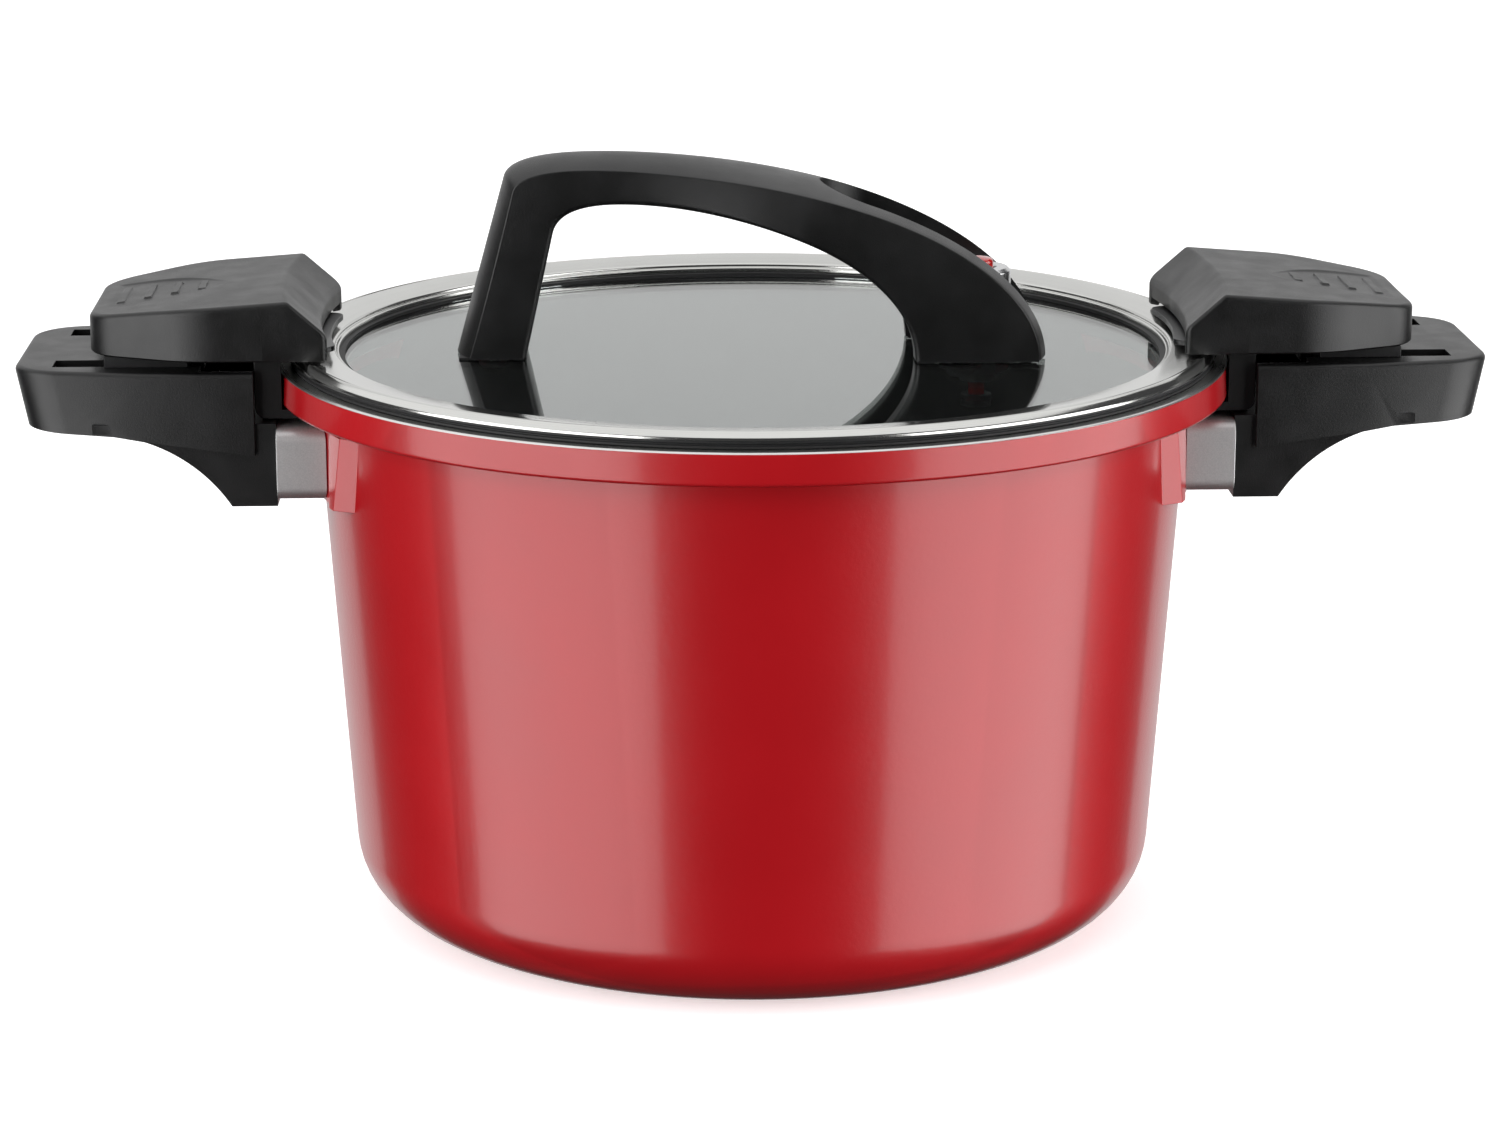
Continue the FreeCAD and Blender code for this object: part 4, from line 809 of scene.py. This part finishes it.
# ---------------------------------------------------------------- valve
@dataclass
class Valve:
    """The turned cap over the valve, and the red pin that rises through it."""

    finishes: dict[str, bpy.types.Material]

    def build(self) -> None:
        """Turn the cap, with a fine groove round its side, and the pin with its domed head."""
        cap = eased([(7.9, 2.5, 0.1), (9.4, 2.5, 0.3), (9.4, 17.6, 0.1), (9.1, 17.9, 0.1),
                     (9.4, 18.2, 0.1), (9.4, 22.4, 0.5), (8.3, 23.5, 0.5), (5.4, 23.5, 0.3),
                     (4.75, 22.9, 0.2), (4.75, 21.2, 0.1), (7.9, 21.2, 0.3)])
        make_piece("valve_turned_cap", turned_section(cap, VALVE_X, 128), [self.finishes["cap"]], "lid",
                   ["valve_cap"], crease=50.0)
        pin = eased([(0, -20.3, 0), (1.55, -20.3, 0), (1.55, -19.3, 0), (2.45, -19.3, 0.1),
                     (2.45, 8.6, 0.1), (6.6, 8.6, 0.2), (6.6, 10.0, 0.2), (4.4, 10.0, 0.2),
                     (4.4, 25.7, 1.2), (0, 26.5, 0)], closed=False)
        make_piece("indicator_turned_pin", turned_section(pin, VALVE_X, 96, closed=False),
                   [self.finishes["indicator"]], "indicator", ["indicator_pin"],
                   crease=50.0)


# ---------------------------------------------------------------- CAD nodes
@dataclass(frozen=True)
class Softened:
    """A moulded or pressed CAD node that is copied with soft edges."""

    word: str
    finish: str
    slot: str
    rounding: float
    slides: bool


SOFTENED = (Softened("base_handle", "resin", "phenolic", 0.7, False),
            Softened("lock_jaw", "jaw", "jaw_black", 0.35, True),
            Softened("steel_sleeve", "sleeve", "brushed_steel", 0.3, False),
            Softened("guide_shoe_near", "shoe", "shoe_plastic", 0.3, True),
            Softened("guide_shoe_far", "shoe", "shoe_plastic", 0.3, True))


def soften_node(side: Side, part: Softened, finish: bpy.types.Material) -> None:
    """Copy a node with its corners joined, its shallow creases smoothed and its edges rounded.

    Args:
        side: The end of the cooker that it is on.
        part: Which node, and how it is softened.
        finish: Its material.
    """
    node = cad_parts[f"{side.word}_{part.word}"]
    flat = np.empty(len(node.data.vertices) * 3)
    node.data.vertices.foreach_get("co", flat)
    faces = [list(face.vertices) for face in node.data.polygons]
    body = f"{side.word}_slide" if part.slides else "pot"
    item = make_piece(f"{side.word}_{part.word}_softened", Surface(flat.reshape(-1, 3) / MM, faces),
                      [finish], body, [node.name], crease=26.0, bevel=part.rounding)
    work = bmesh.new()
    work.from_mesh(item.data)
    bmesh.ops.dissolve_limit(work, angle_limit=math.radians(0.5), verts=work.verts, edges=work.edges)
    work.to_mesh(item.data)
    work.free()


DRESSING = (("steel_sleeve", "sleeve"), ("base_handle", "resin"), ("base_plate", "base"),
            ("lock_jaw", "jaw"), ("guide_shoe", "shoe"), ("lid_glass", "glass"), ("gasket", "rubber"),
            ("foot_pad", "rubber"), ("seal", "rubber"), ("slide_cover", "resin"),
            ("lid_handle_screw", "steel"), ("lid_handle", "resin"), ("pot_body", "coat"),
            ("lid_ring", "ring"), ("valve_cap", "cap"), ("indicator_pin", "indicator"), ("", "steel"))


def dress_nodes(finishes: dict[str, bpy.types.Material]) -> None:
    """Give each CAD node the finish of the first entry whose word its name holds."""
    for name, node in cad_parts.items():
        finish = next(key for word, key in DRESSING if word in name)
        node.data.materials.clear()
        node.data.materials.append(finishes[finish])


# ---------------------------------------------------------------- studio
@dataclass
class Studio:
    """A pale floor, a sun through a diffuser, two tall soft boxes, a white backdrop and the camera."""

    eye: tuple[float, float, float] = (-0.0493, -1.1754, 0.3983)
    pitch: float = 14.30
    yaw: float = -2.37
    lens: float = 100.7
    floor_half: float = 30.0
    floor_glow: float = 0.6
    backdrop: tuple[float, float, float, float] = (2.9, 3.2, -2.2, 2.6)
    backdrop_glow: float = 0.85
    sun_power: float = 2.0
    sun_place: tuple[float, float, float] = (-0.3, 0.5, 2.0)
    sun_spread: float = 100.0
    box_height: float = -0.05
    box_tall: float = 2.4
    boxes: list[tuple[float, float, float, float]] = field(default_factory=lambda: [
        (-57.0, 1.5, 1.7, 42.0), (66.0, 1.5, 1.85, 44.0)])

    def sheet(self, name: str, corners: list[tuple[float, float, float]], colour: str,
              glow: float, matt: bool) -> bpy.types.Object:
        """Make one flat sheet of the studio that glows, and also takes light where it is matt."""
        mesh = bpy.data.meshes.new(name)
        mesh.from_pydata(corners, [], [(0, 1, 2, 3)])
        material = bpy.data.materials.new(name)
        material.use_nodes = True
        shader = material.node_tree.nodes["Principled BSDF"]
        shader.inputs["Base Color"].default_value = linear(colour if matt else "#000000")
        shader.inputs["Roughness"].default_value = 0.9
        shader.inputs["Specular IOR Level"].default_value = 0.0
        shader.inputs["Emission Color"].default_value = linear(colour)
        shader.inputs["Emission Strength"].default_value = glow
        mesh.materials.append(material)
        item = bpy.data.objects.new(name, mesh)
        bpy.context.scene.collection.objects.link(item)
        return item

    def lamp(self, name: str, kind: str, power: float, place: Vector, aim: Vector) -> bpy.types.Object:
        """Hang a lamp that points at a place and stays out of the camera's sight."""
        light = bpy.data.lights.new(name, kind)
        light.energy = power
        item = bpy.data.objects.new(name, light)
        item.location = place
        item.rotation_euler = (aim - place).to_track_quat("-Z", "Y").to_euler()
        item.visible_camera = False
        bpy.context.scene.collection.objects.link(item)
        return item

    def build(self) -> None:
        """Set the stage, the lights, the world's dim fill and the camera."""
        far = self.floor_half
        floor = self.sheet("floor", [(-far, -far, 0), (far, -far, 0), (far, far, 0), (-far, far, 0)],
                           "#f6f6f6", self.floor_glow, True)
        floor.visible_glossy = False
        floor.visible_diffuse = False
        wide, deep, low, high = self.backdrop
        self.sheet("backdrop", [(-wide, deep, low), (wide, deep, low), (wide, deep, high),
                                (-wide, deep, high)], "#ffffff", self.backdrop_glow, False)
        sun = self.lamp("diffused_sun", "SUN", self.sun_power, Vector(self.sun_place), Vector((0, 0, 0)))
        sun.data.angle = math.radians(self.sun_spread)
        for azimuth, distance, width, power in self.boxes:
            turn = math.radians(azimuth)
            place = Vector((distance * math.sin(turn), -distance * math.cos(turn), self.box_height))
            aim = Vector((0, 0, self.box_height))
            box = self.lamp(f"soft_box_{int(azimuth)}", "AREA", power, place, aim)
            box.data.shape = "RECTANGLE"
            box.data.size = width
            box.data.size_y = self.box_tall
        scene = bpy.context.scene
        scene.world = bpy.data.worlds.new("dim_studio")
        scene.world.use_nodes = True
        scene.world.node_tree.nodes["Background"].inputs[0].default_value = (0.06, 0.06, 0.062, 1.0)
        scene.view_settings.view_transform = "Standard"
        camera = bpy.data.cameras.new("camera")
        camera.lens = self.lens
        camera.sensor_width = 36.0
        view = bpy.data.objects.new("camera", camera)
        view.location = self.eye
        view.rotation_euler = (math.radians(90 - self.pitch), 0.0, math.radians(self.yaw))
        scene.collection.objects.link(view)
        scene.camera = view


def main() -> None:
    """Make the finishes, build the pieces in order and set the studio."""
    logging.basicConfig(level=logging.INFO, format="%(message)s")
    finishes = {key: finish.make() for key, finish in FINISHES.items()}
    dress_nodes(finishes)
    Pot(finishes).build()
    Lid(finishes).build()
    LidHandle(finishes).build()
    for side in Side:
        SlideCover(finishes).build(side)
        for part in SOFTENED:
            soften_node(side, part, finishes[part.finish])
    Valve(finishes).build()
    Studio().build()


if __name__ == "__main__":
    main()
